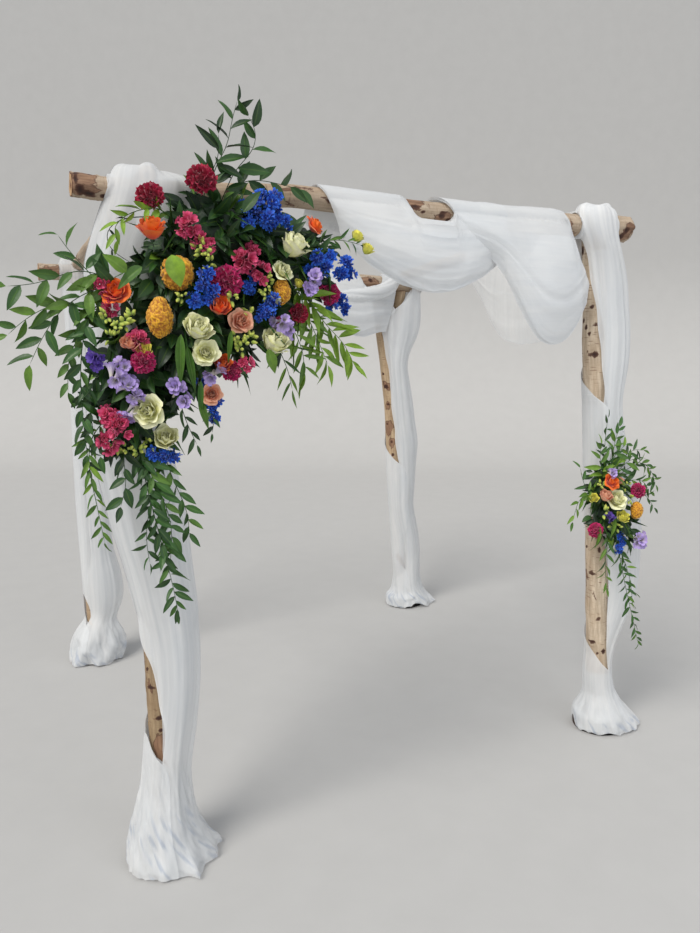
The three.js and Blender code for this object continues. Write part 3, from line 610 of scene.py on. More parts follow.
# Tulle on each post, from over the beam down to the hem: height, x, y, half width, half depth, the
# open side from one angle to another in degrees, and how deep its folds are.
DRAPES = {
    "front_left": [(2.143, -0.944, -0.866, 0.074, 0.003, 150, 150, 0.003),
      (2.138, -0.945, -0.866, 0.098, 0.040, 150, 150, 0.006),
      (2.122, -0.939, -0.866, 0.111, 0.070, 150, 150, 0.008),
      (2.095, -0.941, -0.866, 0.119, 0.078, 150, 150, 0.009),
      (2.040, -0.955, -0.866, 0.123, 0.080, 150, 150, 0.010),
      (1.984, -0.981, -0.866, 0.117, 0.080, 150, 150, 0.011),
      (1.930, -1.005, -0.866, 0.112, 0.080, 150, 150, 0.011),
      (1.879, -1.023, -0.866, 0.110, 0.080, 150, 150, 0.012),
      (1.780, -1.032, -0.866, 0.106, 0.080, 150, 150, 0.012),
      (1.385, -1.043, -0.864, 0.110, 0.080, 150, 150, 0.012),
      (1.260, -1.014, -0.864, 0.113, 0.080, 150, 150, 0.012),
      (1.110, -0.990, -0.862, 0.110, 0.078, 150, 150, 0.011),
      (0.990, -0.970, -0.862, 0.100, 0.076, 150, 150, 0.010),
      (0.835, -0.945, -0.862, 0.093, 0.072, 160, 160, 0.010),
      (0.790, -0.939, -0.862, 0.088, 0.070, 140, 172, 0.009),
      (0.730, -0.934, -0.862, 0.086, 0.069, 112, 192, 0.009),
      (0.695, -0.932, -0.862, 0.085, 0.068, 110, 211, 0.009),
      (0.640, -0.933, -0.862, 0.084, 0.067, 110, 219, 0.009),
      (0.585, -0.934, -0.862, 0.082, 0.066, 110, 223, 0.009),
      (0.530, -0.940, -0.862, 0.082, 0.065, 112, 233, 0.009),
      (0.475, -0.947, -0.862, 0.083, 0.064, 150, 241, 0.010),
      (0.425, -0.954, -0.862, 0.082, 0.064, 205, 245, 0.011),
      (0.385, -0.960, -0.862, 0.080, 0.064, 226, 247, 0.012),
      (0.345, -0.966, -0.861, 0.076, 0.065, 241, 247, 0.012),
      (0.300, -0.970, -0.860, 0.074, 0.066, 242, 247, 0.012),
      (0.250, -0.974, -0.859, 0.078, 0.072, 244, 245, 0.013),
      (0.182, -0.981, -0.859, 0.090, 0.086, 244, 244, 0.013),
      (0.100, -0.980, -0.858, 0.112, 0.110, 244, 244, 0.014),
      (0.050, -0.971, -0.858, 0.134, 0.128, 244, 244, 0.015),
      (0.006, -0.969, -0.858, 0.138, 0.134, 244, 244, 0.012)],
    "front_right": [(2.165, 0.735, -0.866, 0.060, 0.003, 150, 150, 0.003),
      (2.160, 0.732, -0.866, 0.080, 0.036, 150, 150, 0.006),
      (2.136, 0.726, -0.864, 0.096, 0.062, 150, 150, 0.008),
      (2.095, 0.728, -0.860, 0.094, 0.070, 150, 150, 0.008),
      (2.045, 0.746, -0.856, 0.080, 0.073, 150, 184, 0.008),
      (1.985, 0.779, -0.850, 0.080, 0.073, 146, 189, 0.010),
      (1.880, 0.812, -0.845, 0.092, 0.073, 130, 198, 0.012),
      (1.800, 0.825, -0.842, 0.094, 0.073, 125, 202, 0.012),
      (1.715, 0.840, -0.842, 0.098, 0.074, 125, 209, 0.012),
      (1.610, 0.846, -0.842, 0.098, 0.075, 125, 222, 0.012),
      (1.540, 0.843, -0.842, 0.095, 0.075, 144, 226, 0.012),
      (1.450, 0.838, -0.842, 0.080, 0.073, 201, 230, 0.011),
      (1.405, 0.838, -0.842, 0.078, 0.072, 227, 230, 0.011),
      (1.300, 0.853, -0.842, 0.084, 0.072, 228, 228, 0.011),
      (1.130, 0.888, -0.842, 0.106, 0.076, 210, 210, 0.012),
      (0.960, 0.930, -0.842, 0.128, 0.080, 190, 196, 0.012),
      (0.860, 0.952, -0.842, 0.124, 0.082, 128, 206, 0.012),
      (0.650, 0.966, -0.842, 0.104, 0.080, 128, 208, 0.012),
      (0.545, 0.948, -0.840, 0.090, 0.076, 128, 218, 0.011),
      (0.470, 0.926, -0.839, 0.076, 0.070, 130, 230, 0.010),
      (0.415, 0.908, -0.838, 0.066, 0.064, 158, 244, 0.009),
      (0.365, 0.897, -0.838, 0.060, 0.060, 197, 256, 0.008),
      (0.315, 0.890, -0.838, 0.058, 0.058, 240, 270, 0.007),
      (0.270, 0.890, -0.838, 0.060, 0.058, 272, 278, 0.007),
      (0.190, 0.900, -0.838, 0.063, 0.060, 280, 280, 0.008),
      (0.160, 0.908, -0.838, 0.064, 0.062, 280, 280, 0.009),
      (0.125, 0.914, -0.838, 0.084, 0.078, 280, 280, 0.010),
      (0.100, 0.918, -0.838, 0.099, 0.092, 280, 280, 0.011),
      (0.055, 0.930, -0.838, 0.126, 0.114, 280, 280, 0.011),
      (0.006, 0.940, -0.838, 0.136, 0.118, 280, 280, 0.009)],
    "back_left": [(2.058, -0.930, 0.880, 0.060, 0.003, 150, 150, 0.004),
      (2.048, -0.930, 0.880, 0.080, 0.032, 150, 150, 0.006),
      (2.012, -0.930, 0.878, 0.088, 0.052, 150, 150, 0.007),
      (1.960, -0.928, 0.877, 0.088, 0.060, 150, 150, 0.010),
      (1.820, -0.908, 0.877, 0.096, 0.070, 150, 150, 0.012),
      (1.660, -0.910, 0.877, 0.090, 0.070, 150, 150, 0.012),
      (1.390, -0.910, 0.877, 0.082, 0.068, 150, 150, 0.012),
      (1.110, -0.908, 0.877, 0.073, 0.066, 150, 150, 0.012),
      (0.870, -0.905, 0.877, 0.070, 0.064, 150, 150, 0.012),
      (0.720, -0.904, 0.877, 0.066, 0.062, 150, 150, 0.011),
      (0.630, -0.904, 0.877, 0.066, 0.060, 150, 150, 0.010),
      (0.560, -0.900, 0.877, 0.072, 0.062, 150, 150, 0.011),
      (0.470, -0.894, 0.877, 0.092, 0.074, 150, 150, 0.012),
      (0.400, -0.892, 0.877, 0.100, 0.078, 160, 160, 0.012),
      (0.352, -0.890, 0.877, 0.100, 0.080, 175, 190, 0.013),
      (0.300, -0.892, 0.877, 0.092, 0.078, 165, 212, 0.013),
      (0.255, -0.900, 0.877, 0.080, 0.070, 165, 222, 0.012),
      (0.225, -0.912, 0.877, 0.074, 0.066, 190, 222, 0.012),
      (0.200, -0.922, 0.878, 0.088, 0.080, 214, 214, 0.014),
      (0.160, -0.928, 0.878, 0.112, 0.104, 214, 214, 0.016),
      (0.105, -0.934, 0.878, 0.130, 0.124, 214, 214, 0.018),
      (0.050, -0.938, 0.878, 0.136, 0.132, 214, 214, 0.018),
      (0.022, -0.940, 0.878, 0.132, 0.130, 214, 214, 0.014),
      (0.006, -0.940, 0.878, 0.124, 0.124, 214, 214, 0.010)],
    "back_right": [(2.074, 0.912, 0.890, 0.060, 0.003, 150, 150, 0.004),
      (2.064, 0.912, 0.890, 0.084, 0.034, 150, 150, 0.006),
      (2.030, 0.910, 0.888, 0.104, 0.056, 150, 150, 0.007),
      (2.000, 0.906, 0.886, 0.112, 0.062, 214, 306, 0.008),
      (1.955, 0.904, 0.885, 0.120, 0.066, 216, 294, 0.009),
      (1.890, 0.899, 0.885, 0.129, 0.072, 222, 262, 0.010),
      (1.826, 0.896, 0.885, 0.136, 0.075, 231, 236, 0.011),
      (1.770, 0.893, 0.885, 0.139, 0.077, 190, 192, 0.011),
      (1.720, 0.890, 0.885, 0.136, 0.078, 150, 196, 0.011),
      (1.660, 0.880, 0.885, 0.118, 0.077, 128, 200, 0.011),
      (1.590, 0.866, 0.885, 0.090, 0.073, 126, 204, 0.010),
      (1.511, 0.858, 0.885, 0.075, 0.071, 126, 206, 0.009),
      (1.421, 0.872, 0.885, 0.080, 0.070, 126, 208, 0.010),
      (1.300, 0.887, 0.885, 0.091, 0.072, 128, 214, 0.010),
      (1.180, 0.897, 0.885, 0.098, 0.074, 130, 222, 0.010),
      (1.080, 0.908, 0.885, 0.108, 0.077, 140, 228, 0.011),
      (1.030, 0.916, 0.885, 0.108, 0.078, 168, 231, 0.011),
      (0.970, 0.914, 0.885, 0.100, 0.076, 200, 236, 0.011),
      (0.900, 0.914, 0.885, 0.093, 0.075, 232, 242, 0.011),
      (0.860, 0.914, 0.885, 0.089, 0.074, 242, 244, 0.011),
      (0.780, 0.914, 0.885, 0.085, 0.073, 244, 244, 0.011),
      (0.645, 0.912, 0.885, 0.076, 0.068, 244, 244, 0.010),
      (0.555, 0.930, 0.885, 0.079, 0.069, 244, 244, 0.010),
      (0.465, 0.954, 0.885, 0.078, 0.066, 215, 215, 0.010),
      (0.352, 0.968, 0.885, 0.077, 0.065, 186, 194, 0.010),
      (0.322, 0.968, 0.885, 0.078, 0.065, 176, 209, 0.010),
      (0.285, 0.967, 0.886, 0.079, 0.066, 196, 225, 0.010),
      (0.250, 0.965, 0.886, 0.080, 0.068, 222, 237, 0.011),
      (0.170, 0.964, 0.886, 0.083, 0.074, 230, 230, 0.012),
      (0.110, 0.968, 0.886, 0.092, 0.088, 230, 230, 0.013),
      (0.080, 0.974, 0.886, 0.106, 0.100, 230, 230, 0.013),
      (0.040, 0.984, 0.886, 0.124, 0.116, 230, 230, 0.013),
      (0.006, 0.990, 0.886, 0.136, 0.124, 230, 230, 0.010)],
}

# Each hem: the side where it stands off the floor and shows the iron, how wide and high that is,
# how far up the cloth is crinkled, how deep its crinkles and its crumples are, and its corners as
# angle, width in degrees and reach.
HEMS = {
    "front_left": (166, 16, 0.020, 0.46, 0.006, 0.008, [(287, 8, 0.042), (352, 8, 0.036),
      (325, 7, 0.018), (215, 10, 0.012)]),
    "front_right": (158, 11, 0.040, 0.13, 0.004, 0.009, [(300, 14, 0.018), (325, 10, 0.016),
      (250, 12, 0.008)]),
    "back_left": (29, 14, 0.024, 0.24, 0.003, 0.021, [(345, 14, 0.022), (215, 12, 0.014)]),
    "back_right": (262, 17, 0.026, 0.22, 0.003, 0.010, [(328, 12, 0.022), (290, 10, 0.010)]),
}

# How much thinner the cloth is over the beam; denser where it is less than nothing.
THIN_TOP = {"front_left": -0.3, "front_right": -0.9, "back_left": 0.4, "back_right": 0.4}

# Between which heights a second, inner layer of the cloth lies.
INNER = {
    "front_left": [(0, 1.98)], "front_right": [(0, 0.26), (1.02, 2.0)], "back_left": [(0, 1.93)],
    "back_right": [(0, 1.95)],
}

# Tulle over the beams, with the size it was cut to: span along the beam, how suddenly the belly
# ends at the sides, how far the cloth bellies out, how far it hangs behind, the stretch where the
# bark is bare, where its sides run from top to bottom, and the lower edge as position and height.
# The right one is bare nowhere, and its stretch lies past its end.
SWAGS = {
    "front_left": {"cut": (0.80, 0.85), "span": (-0.400, 0.290), "fade": 0.5, "belly": 0.060,
      "behind": 0.16, "bare": (-0.175, 0.085), "start": ([0, 0.6, 0.95, 1],
      [-0.445, -0.430, -0.370, -0.365]), "low": [(-0.400, 2.045), (-0.378, 2.008), (-0.327, 1.947),
      (-0.254, 1.894), (-0.179, 1.859), (-0.101, 1.835), (-0.021, 1.824), (0.060, 1.833),
      (0.143, 1.863), (0.207, 1.899), (0.290, 1.955)]},
    "front_right": {"cut": (0.80, 0.85), "span": (0.010, 0.680), "fade": 0.5, "belly": 0.080,
      "behind": 0.18, "bare": (0.505, 0.740), "start": ([0, 0.5, 0.85, 1],
      [-0.01, 0.0, 0.085, 0.09]), "stop": ([0, 0.1, 0.45, 0.75, 1],
      [0.592, 0.608, 0.652, 0.676, 0.674]), "low": [(0.000, 2.040), (0.060, 2.025), (0.140, 1.980),
      (0.224, 1.930), (0.270, 1.871), (0.331, 1.780), (0.379, 1.706), (0.436, 1.656),
      (0.520, 1.646), (0.600, 1.704), (0.656, 1.785), (0.676, 1.830)]},
    "back": {"cut": (0.92, 0.88), "span": (0.200, 0.835), "fade": 1.1, "belly": 0.060,
      "behind": 0.14, "bare": (0.540, 0.760), "stop": ([0, 0.4, 0.7, 1],
      [0.850, 0.845, 0.815, 0.765]), "low": [(0.200, 1.880), (0.326, 1.796), (0.387, 1.758),
      (0.449, 1.725), (0.511, 1.698), (0.562, 1.682), (0.614, 1.680), (0.672, 1.700),
      (0.835, 1.712)]},
    "right": {"cut": (0.90, 0.65), "span": (-0.760, 0.080), "fade": 0.5, "belly": 0.050,
      "behind": 0.12, "bare": (9, 10), "low": [(-0.760, 1.800), (-0.680, 1.680), (-0.600, 1.652),
      (-0.500, 1.644), (-0.400, 1.646), (-0.321, 1.664), (-0.215, 1.740), (-0.104, 1.855),
      (0.012, 1.952), (0.080, 2.000)]},
}

# The roll of tulle that comes down from over the back right corner along the back beam.
TWIST = [
    (0.890, 0.930, 2.030), (0.862, 0.880, 2.034), (0.835, 0.832, 2.010), (0.790, 0.806, 1.968),
    (0.710, 0.800, 1.930), (0.580, 0.798, 1.905), (0.420, 0.800, 1.885),
]
TWIST_RADII = [0.016, 0.030, 0.036, 0.038, 0.040, 0.040, 0.036]


def kept_clear(p):
    """Pushes points that are inside a log straight out from its axis, until they are clear of its
    bark."""
    p = p.copy()
    for axis, rows, aside in LOGS:
        k, i, j = {"x": (0, 2, 1), "y": (1, 0, 2), "z": (2, 0, 1)}[axis]
        t = p[..., k]
        middle, radius = row_at(rows, t)
        da, db = p[..., i] - middle, p[..., j] - aside(t)
        far = np.hypot(da, db) + 1e-9
        near = (t > rows[0][0] - 3 * BARK_GAP) & (t < rows[-1][0] + 3 * BARK_GAP)
        push = np.where(near, np.maximum(1, (radius * SWELL + BARK_GAP) / far), 1)
        p[..., i] += da * (push - 1)
        p[..., j] += db * (push - 1)
    return p


def spread_rows(rows, n):
    """Rows spread evenly by length over n steps, the length being that of their first five
    columns."""
    table = np.array(rows, float)
    at, out = resampled(table, table[:, :5], n, 12)
    return at[:, None], [column[:, None] for column in out.T]


def folds(at, seed, crease=0.5):
    """Folds of cloth, where at(k, m) gives its points k times as close across and m times as close
    down: broad waves, sharper ones where noise crosses zero, and fine wrinkles."""
    wide = noise(at(1, 0.8), seed + 1)
    sharp = 1 - 2.4 * np.abs(noise(at(1.9, 1.1), seed + 2))
    fine = 1 - 2.2 * np.abs(noise(at(4.1, 1.7), seed + 3))
    return (1 - crease) * wide + crease * 0.84 * sharp + crease * 0.16 * fine


def flat_folds(across, down, seed, crease=0.5):
    """Folds that run down a flat cloth and wander across it."""
    wander = (0.8 * noise(stacked(across * 0.6, down * 1.3, seed), seed)
              + 0.25 * noise(stacked(across * 1.7, down * 4, seed), seed))
    return folds(lambda k, m: stacked((across + wander) * k, down * m, seed + 0.3 * k), seed,
                 crease)


def round_folds(q, count, down, seed):
    """Folds that run down a cloth gathered round a post and meet themselves after a full turn."""
    turn = q + 0.5 * noise(stacked(np.cos(q), np.sin(q), down * 1.3), seed)
    r = count / TAU
    return folds(lambda k, m: stacked(np.cos(turn) * k * r, np.sin(turn) * k * r, down * m), seed)


def creases(p, seed):
    """Sharp creases in every direction: high where noise crosses zero, at two sizes."""
    small = np.abs(noise(p * 2.3, seed + 1))
    return 0.65 - 1.7 * np.abs(noise(p, seed)) + 0.5 * (0.5 - 1.5 * small)


def drape_surface(rows, seed, hem, foot, cols=144, n=180, snug=1.0, turn=0.0, count=9):
    """Cloth gathered round a post: an oval that changes down the post, open on one side, whose
    edges lap where the oval closes, and whose radius carries folds. Towards the hem it is crinkled
    and crumpled, drawn out to corners, pushed clear of the foot and lifted on one side; over the
    beam it is puffed and shut, and all of it is kept clear of the logs inside it. The last result
    marks the gaps between creases, where painted blue grey shade goes."""
    lap, closes_at = 24, 30
    down, (z, cx, cy, a, b, g0, g1, deep) = spread_rows(rows, n)
    over_beam = rows[0][4] < 0.01
    s = np.linspace(0, 1, cols)[None, :]
    shut = 1 - eased((g1 - g0) / closes_at)
    q = np.radians(g1 + turn * shut + (360 - (g1 - g0) + lap * shut) * s)
    edge = 0.008 * noise(stacked(down * 9, s.round() * 5, seed), seed) * (1 - shut)
    q = q + edge / 0.08 * (np.exp(-s / 0.06) - np.exp(-(1 - s) / 0.06))
    side, wide, high, crinkled, crinkle, crumple, pulled = hem
    ring = stacked(np.cos(q), np.sin(q), 0 * z)
    slant = stacked(np.cos(q + 3.4 * z) * 5.5, np.sin(q + 3.4 * z) * 5.5, z * 12)
    lump = stacked(np.cos(q) * 2.1, np.sin(q) * 2.1, z * 11)
    low = eased((0.12 - z) / 0.12)

    def from_side(angle):
        """How many degrees round from an angle each point is."""
        return (np.degrees(q) - angle + 180) % 360 - 180

    lift = 0.8 * deep * (round_folds(q, count, down, seed) - 0.15) + 0.002 * s * shut
    lift += crinkle * creases(slant, seed + 5) * eased((crinkled - z) / (0.7 * crinkled))
    lift += (crumple * (noise(lump, seed + 7) + 0.35 * creases(lump * 1.7, seed + 3))
             * eased((0.24 - z) / 0.16))
    lift += 0.007 * low * noise(ring * 4, seed + 6)
    lift += eased((0.09 - z) / 0.08) * sum(reach * np.exp(-np.abs(from_side(angle)) / width)
                                           for angle, width, reach in pulled)
    flat = 1 / np.maximum(np.hypot(np.cos(q) * b, np.sin(q) * a), 1e-4)
    x = cx + a * snug * np.cos(q) + lift * np.cos(q) * b * flat
    y = cy + b * snug * np.sin(q) + lift * np.sin(q) * a * flat
    if over_beam:
        y[0] = cy[0]
    foot_x, foot_y, foot_r = foot
    away = np.hypot(x - foot_x, y - foot_y)
    push = 1 + eased((0.085 - z) / 0.03) * np.clip((foot_r + 0.006 * snug) / away - 1, 0, None)
    x, y = foot_x + (x - foot_x) * push, foot_y + (y - foot_y) * push
    # painted shade: spots between the crinkles near the hem, turned blue grey by the material
    shaded_gaps = stacked(np.cos(q + 5 * z) * 11, np.sin(q + 5 * z) * 11, z * 17)
    dip = (np.clip((noise(shaded_gaps, seed + 12) - 0.30) * 4, 0, 1)
           * eased((0.50 * crinkled - z) / (0.2 * crinkled)))
    puff = eased((z - rows[0][0] + 0.09) / 0.07) * over_beam
    z = z + low * (0.014 * np.abs(noise(ring * 3.4, seed + 8))
                   + high * np.exp(-((from_side(side) / wide) ** 2)))
    z = z + puff * 0.014 * noise(stacked(x * 22, y * 22, seed), seed + 9)
    return kept_clear(stacked(x, y, z)), stacked(q * 0.2, down), dip


def cut_rows(rows, low, high):
    """The part of the rows between two heights, with a row made at each height that falls between
    two of them."""
    table = np.array(rows, float)[::-1]
    inside = table[(table[:, 0] > low) & (table[:, 0] < high)]
    ends = [[np.interp(t, table[:, 0], column) for column in table.T]
            for t in (low, high) if table[0, 0] < t < table[-1, 0]]
    out = np.array([*inside, *ends])
    return out[np.argsort(-out[:, 0])]


def swag_surface(plan, beam, seed, cols=128, n=94, count=3.4, inside=0.0, longer=0.0):
    """Cloth laid over a beam: it rises behind, bends round the top and hangs in front to its lower
    edge. It bellies forward as a sine of its drop, with folds that follow the lower edge, and
    where the bark is bare it starts below the beam. beam(t) gives the axis height, the radius and
    a function that makes a point from a distance forward. An inner layer lies inside the outer one
    and is longer by a little."""
    deep = 0.0075
    u = np.linspace(0, 1, cols)[None, :]
    w = np.linspace(0, 1, n)[:, None]
    left, right = (np.interp(w, *plan.get(key, ([0, 1], [end, end])))
                   for key, end in zip(("start", "stop"), plan["span"]))
    t = left + (right - left) * u
    height, radius, to_point = beam(t)
    reach = radius * SWELL + 0.010 - inside + 0.006 * noise(stacked(t * 9, w * 3, seed), seed)
    b0, b1 = plan["bare"]
    bare = eased((t - b0) / 0.10) * eased((b1 + 0.03 - t) / 0.07)
    behind = (plan["behind"] * (1 - bare) * (0.4 + 0.6 * np.sin(math.pi * u) ** 0.8)
              * (0.85 + 0.25 * noise(stacked(t * 5, 0, seed), seed + 1)))
    bend0 = np.radians(180 - 222 * bare)
    bend1 = np.minimum(bend0, 0)
    low = sum(np.interp(t + d, *np.array(plan["low"]).T) for d in np.linspace(-0.035, 0.035, 7)) / 7
    low = low - longer * np.sin(math.pi * u)
    foot_z = height + reach * np.sin(bend1)
    hang = np.maximum(foot_z - low, 0.01)
    s = w * (behind + reach * (bend0 - bend1) + hang)
    f = np.clip((s - behind - reach * (bend0 - bend1)) / hang, 0, 1)
    rise = np.clip((behind - s) / np.maximum(behind, 1e-4), 0, 1)
    angle = np.clip(bend0 - (s - behind) / reach, bend1, bend0)
    front = foot_z - f * hang
    g = np.clip((height - front) / np.maximum(height - low, 0.02), 0, 1)
    ends = np.clip(np.sin(math.pi * u), 0, 1) ** plan["fade"]
    body = (plan["belly"] - inside) * np.sin(math.pi * (0.04 + 0.78 * g)) * ends
    ridge = (flat_folds(g * count, t * 1.1, seed)
             + 0.35 * flat_folds(g * count * 2.1, t * 1.6, seed + 11, 0.6) * g)
    hung = (reach * (1 - 0.23 * (bend1 < 0) * bare * np.exp(-g / 0.1)) + body
            + deep * ridge * eased(g / 0.2) * (0.3 + 0.7 * ends))
    bent = (reach * np.cos(angle) - 0.02 * rise
            + 0.006 * flat_folds(u * 12, rise, seed + 4) * (rise > 0))
    out = np.where(f > 0, hung, bent)
    z = np.where(f > 0, front, height + reach * np.sin(angle) - rise * behind)
    z = z + 0.003 * eased((f - 0.8) / 0.2) * noise(stacked(t * 26, 0, seed), seed + 5)
    return kept_clear(to_point(t, out, z)), stacked(height - z, t)


def doubled(shape, points, uv, rows=slice(None), columns=slice(None)):
    """A hem or seam: a narrow strip of the cloth once more, a little in front of it."""
    facing = unit(np.cross(np.gradient(points, axis=1), np.gradient(points, axis=0)), 1e-12)
    shape.add((points + SEAM_OFF * facing)[rows, columns], uv[rows, columns])


def roll_surface(path, radii, seed):
    """Cloth twisted into a roll: a circle carried along the path, with folds that wind round it."""
    cols, n, deep = 40, 120, 0.007
    line, total = smooth_line(path, n)
    size = np.interp(np.linspace(0, 1, n), np.linspace(0, 1, len(radii)), radii)[:, None]
    along = np.linspace(0, total, n)[:, None]
    q = np.linspace(0, TAU, cols)[None, :]
    side, up = beside(line, [0, 1.0, 0.2])
    wind = q - along * 5.0
    fold = flat_folds(np.cos(wind) * 1.8 + np.sin(wind) * 1.1, along * 1.5, seed, 0.7)
    r = (size + deep * fold)[..., None]
    x, y = np.cos(q)[..., None], np.sin(q)[..., None]
    points = line[:, None] + r * (side[:, None] * x + up[:, None] * y * 0.8)
    return kept_clear(points), stacked(q * 0.05, along)


def tulle_material(name, alpha):
    """Fine white net: a pale cloth that lets part of the light through, a little more or less of
    it by soft streaks along the folds and by clouds, thinner where its mark says so. Its colour
    holds painted shade: patches of cooler blue grey white by the same streaks and clouds, and
    blue grey in the gaps between creases."""
    shaded_white, warm, gap_shade = (0.7735, 0.80325, 0.833), (0.833, 0.8415, 0.8415), (0.40, 0.47, 0.60)
    g = Graph(name)
    streak = g.noise(g.uv((26, 2, 1)), 1, 3, 0.55)
    cloud = g.noise(g.uv((5, 3, 1)), 1, 3, 0.55, 0.6)
    both = g.math("ADD", g.math("MULTIPLY", streak, 0.5), g.math("MULTIPLY", cloud, 0.5))
    # painted shade: the cooler blue grey white, laid in patches by the streaks and clouds
    colour = g.ramp(both, (0.30, shaded_white), (0.60, warm))
    # painted shade: blue grey where the crease mark says so
    colour = g.mix(g.math("MULTIPLY", g.mark("dip"), 0.6), colour, gap_shade)
    seen = g.math("ADD", g.math("MULTIPLY", g.math("SUBTRACT", both, 0.5), 0.4), alpha)
    seen = g.math("SUBTRACT", seen, g.math("MULTIPLY", g.mark("thin"), 0.22), clamp=True)
    wrinkle = g.noise(g.uv((34, 9, 1)), 1, 3, 0.6, 0.8)
    g.material.surface_render_method = "DITHERED"
    return g.finish(base_color=colour, roughness=0.75, alpha=seen, sheen_weight=0.35,
                    sheen_roughness=0.45, normal=g.bump(wrinkle, 0.18, 0.004))


class TulleSizes(bpy.types.PropertyGroup):
    dense: FloatProperty(
        name="Dense net", description="How much light the gathered net stops", default=0.60,
        min=0, max=1, subtype="FACTOR")
    sheer: FloatProperty(
        name="Sheer net", description="How much light a single layer stops", default=0.38,
        min=0, max=1, subtype="FACTOR")


class CHUPPAH_OT_tulle(bpy.types.Operator):
    """White tulle gathered down each post and swagged over the beams"""

    bl_idname = "chuppah.tulle"
    bl_label = "Tulle"

    def drape(self, k, name, rows, foot, net):
        """One post's cloth, hemmed along both edges, with its inner layers."""
        shape = Shape()
        points, uv, dip = drape_surface(rows, 50 + 7 * k, HEMS[name], foot)
        thin = THIN_TOP[name] * eased((points[..., 2] - rows[0][0] + 0.20) / 0.10)
        shape.add(points, uv, thin=thin, dip=dip)
        doubled(shape, points, uv, columns=slice(0, 2))
        doubled(shape, points, uv, columns=slice(-2, None))
        for low, high in INNER[name]:
            n = int(40 * (high - low)) + 10
            points, uv, dip = drape_surface(cut_rows(rows, low, high), 51 + 7 * k, HEMS[name],
                                            foot, 80, n, snug=0.84, turn=30, count=7)
            shape.add(points, uv, dip=dip)
        ob = place("tulle_" + name, shape.mesh(name, merge=False), net,
                   ["cap_" + name, "fall_" + name, "skirt_" + name])

    def single(self, shape, plan, seed):
        """The one sheer layer over the right beam, with its seams and its hem."""
        _, rows, height = BEAMS["right"]
        across = lambda t, out, z: stacked(row_at(rows, t)[0] - out, t, z)
        points, uv = swag_surface(plan, lambda t: (height(t), SIDE_BEAM_R + 0 * t, across), seed)
        uv = uv[..., ::-1]
        shape.add(points, uv)
        for columns in (slice(41, 43), slice(60, 62), slice(79, 81)):
            doubled(shape, points, uv, columns=columns)
        for rows in (slice(64, 66), slice(-3, None)):
            doubled(shape, points, uv, rows=rows)

    def double(self, shape, plan, seed, beam):
        """Two layers over the front or back beam, each with its hem."""
        _, rows, aside = beam
        forward = lambda t, out, z: stacked(t, aside(t) - out, z)
        for layer in ((seed, 140, 100, 3.4, 0, 0), (seed + 3, 70, 45, 2.8, 0.004, 0.008)):
            points, uv = swag_surface(plan, lambda t: (*row_at(rows, t), forward), *layer)
            shape.add(points, uv)
            doubled(shape, points, uv, rows=slice(-3, None))

    def execute(self, context):
        s = context.scene.chuppah_tulle
        dense = tulle_material("tulle_gathered", s.dense)
        sheer = tulle_material("tulle_single", s.sheer)
        foot_radius = context.scene.chuppah_timber.foot_radius
        for k, (name, rows) in enumerate(DRAPES.items()):
            self.drape(k, name, rows, (*FOOT[name], foot_radius), dense)
        for k, (name, plan) in enumerate(SWAGS.items()):
            shape, beam, seed = Shape(), name.split("_")[0], 80 + 9 * k
            if name == "right":
                self.single(shape, plan, seed)
            else:
                self.double(shape, plan, seed, BEAMS[beam])
            if name == "back":
                shape.add(*roll_surface(TWIST, TWIST_RADII, 99))
            ob = place("tulle_swag_" + name, shape.mesh(name, merge=False),
                       sheer if name == "right" else dense, ["swag_" + name])
        return {"FINISHED"}


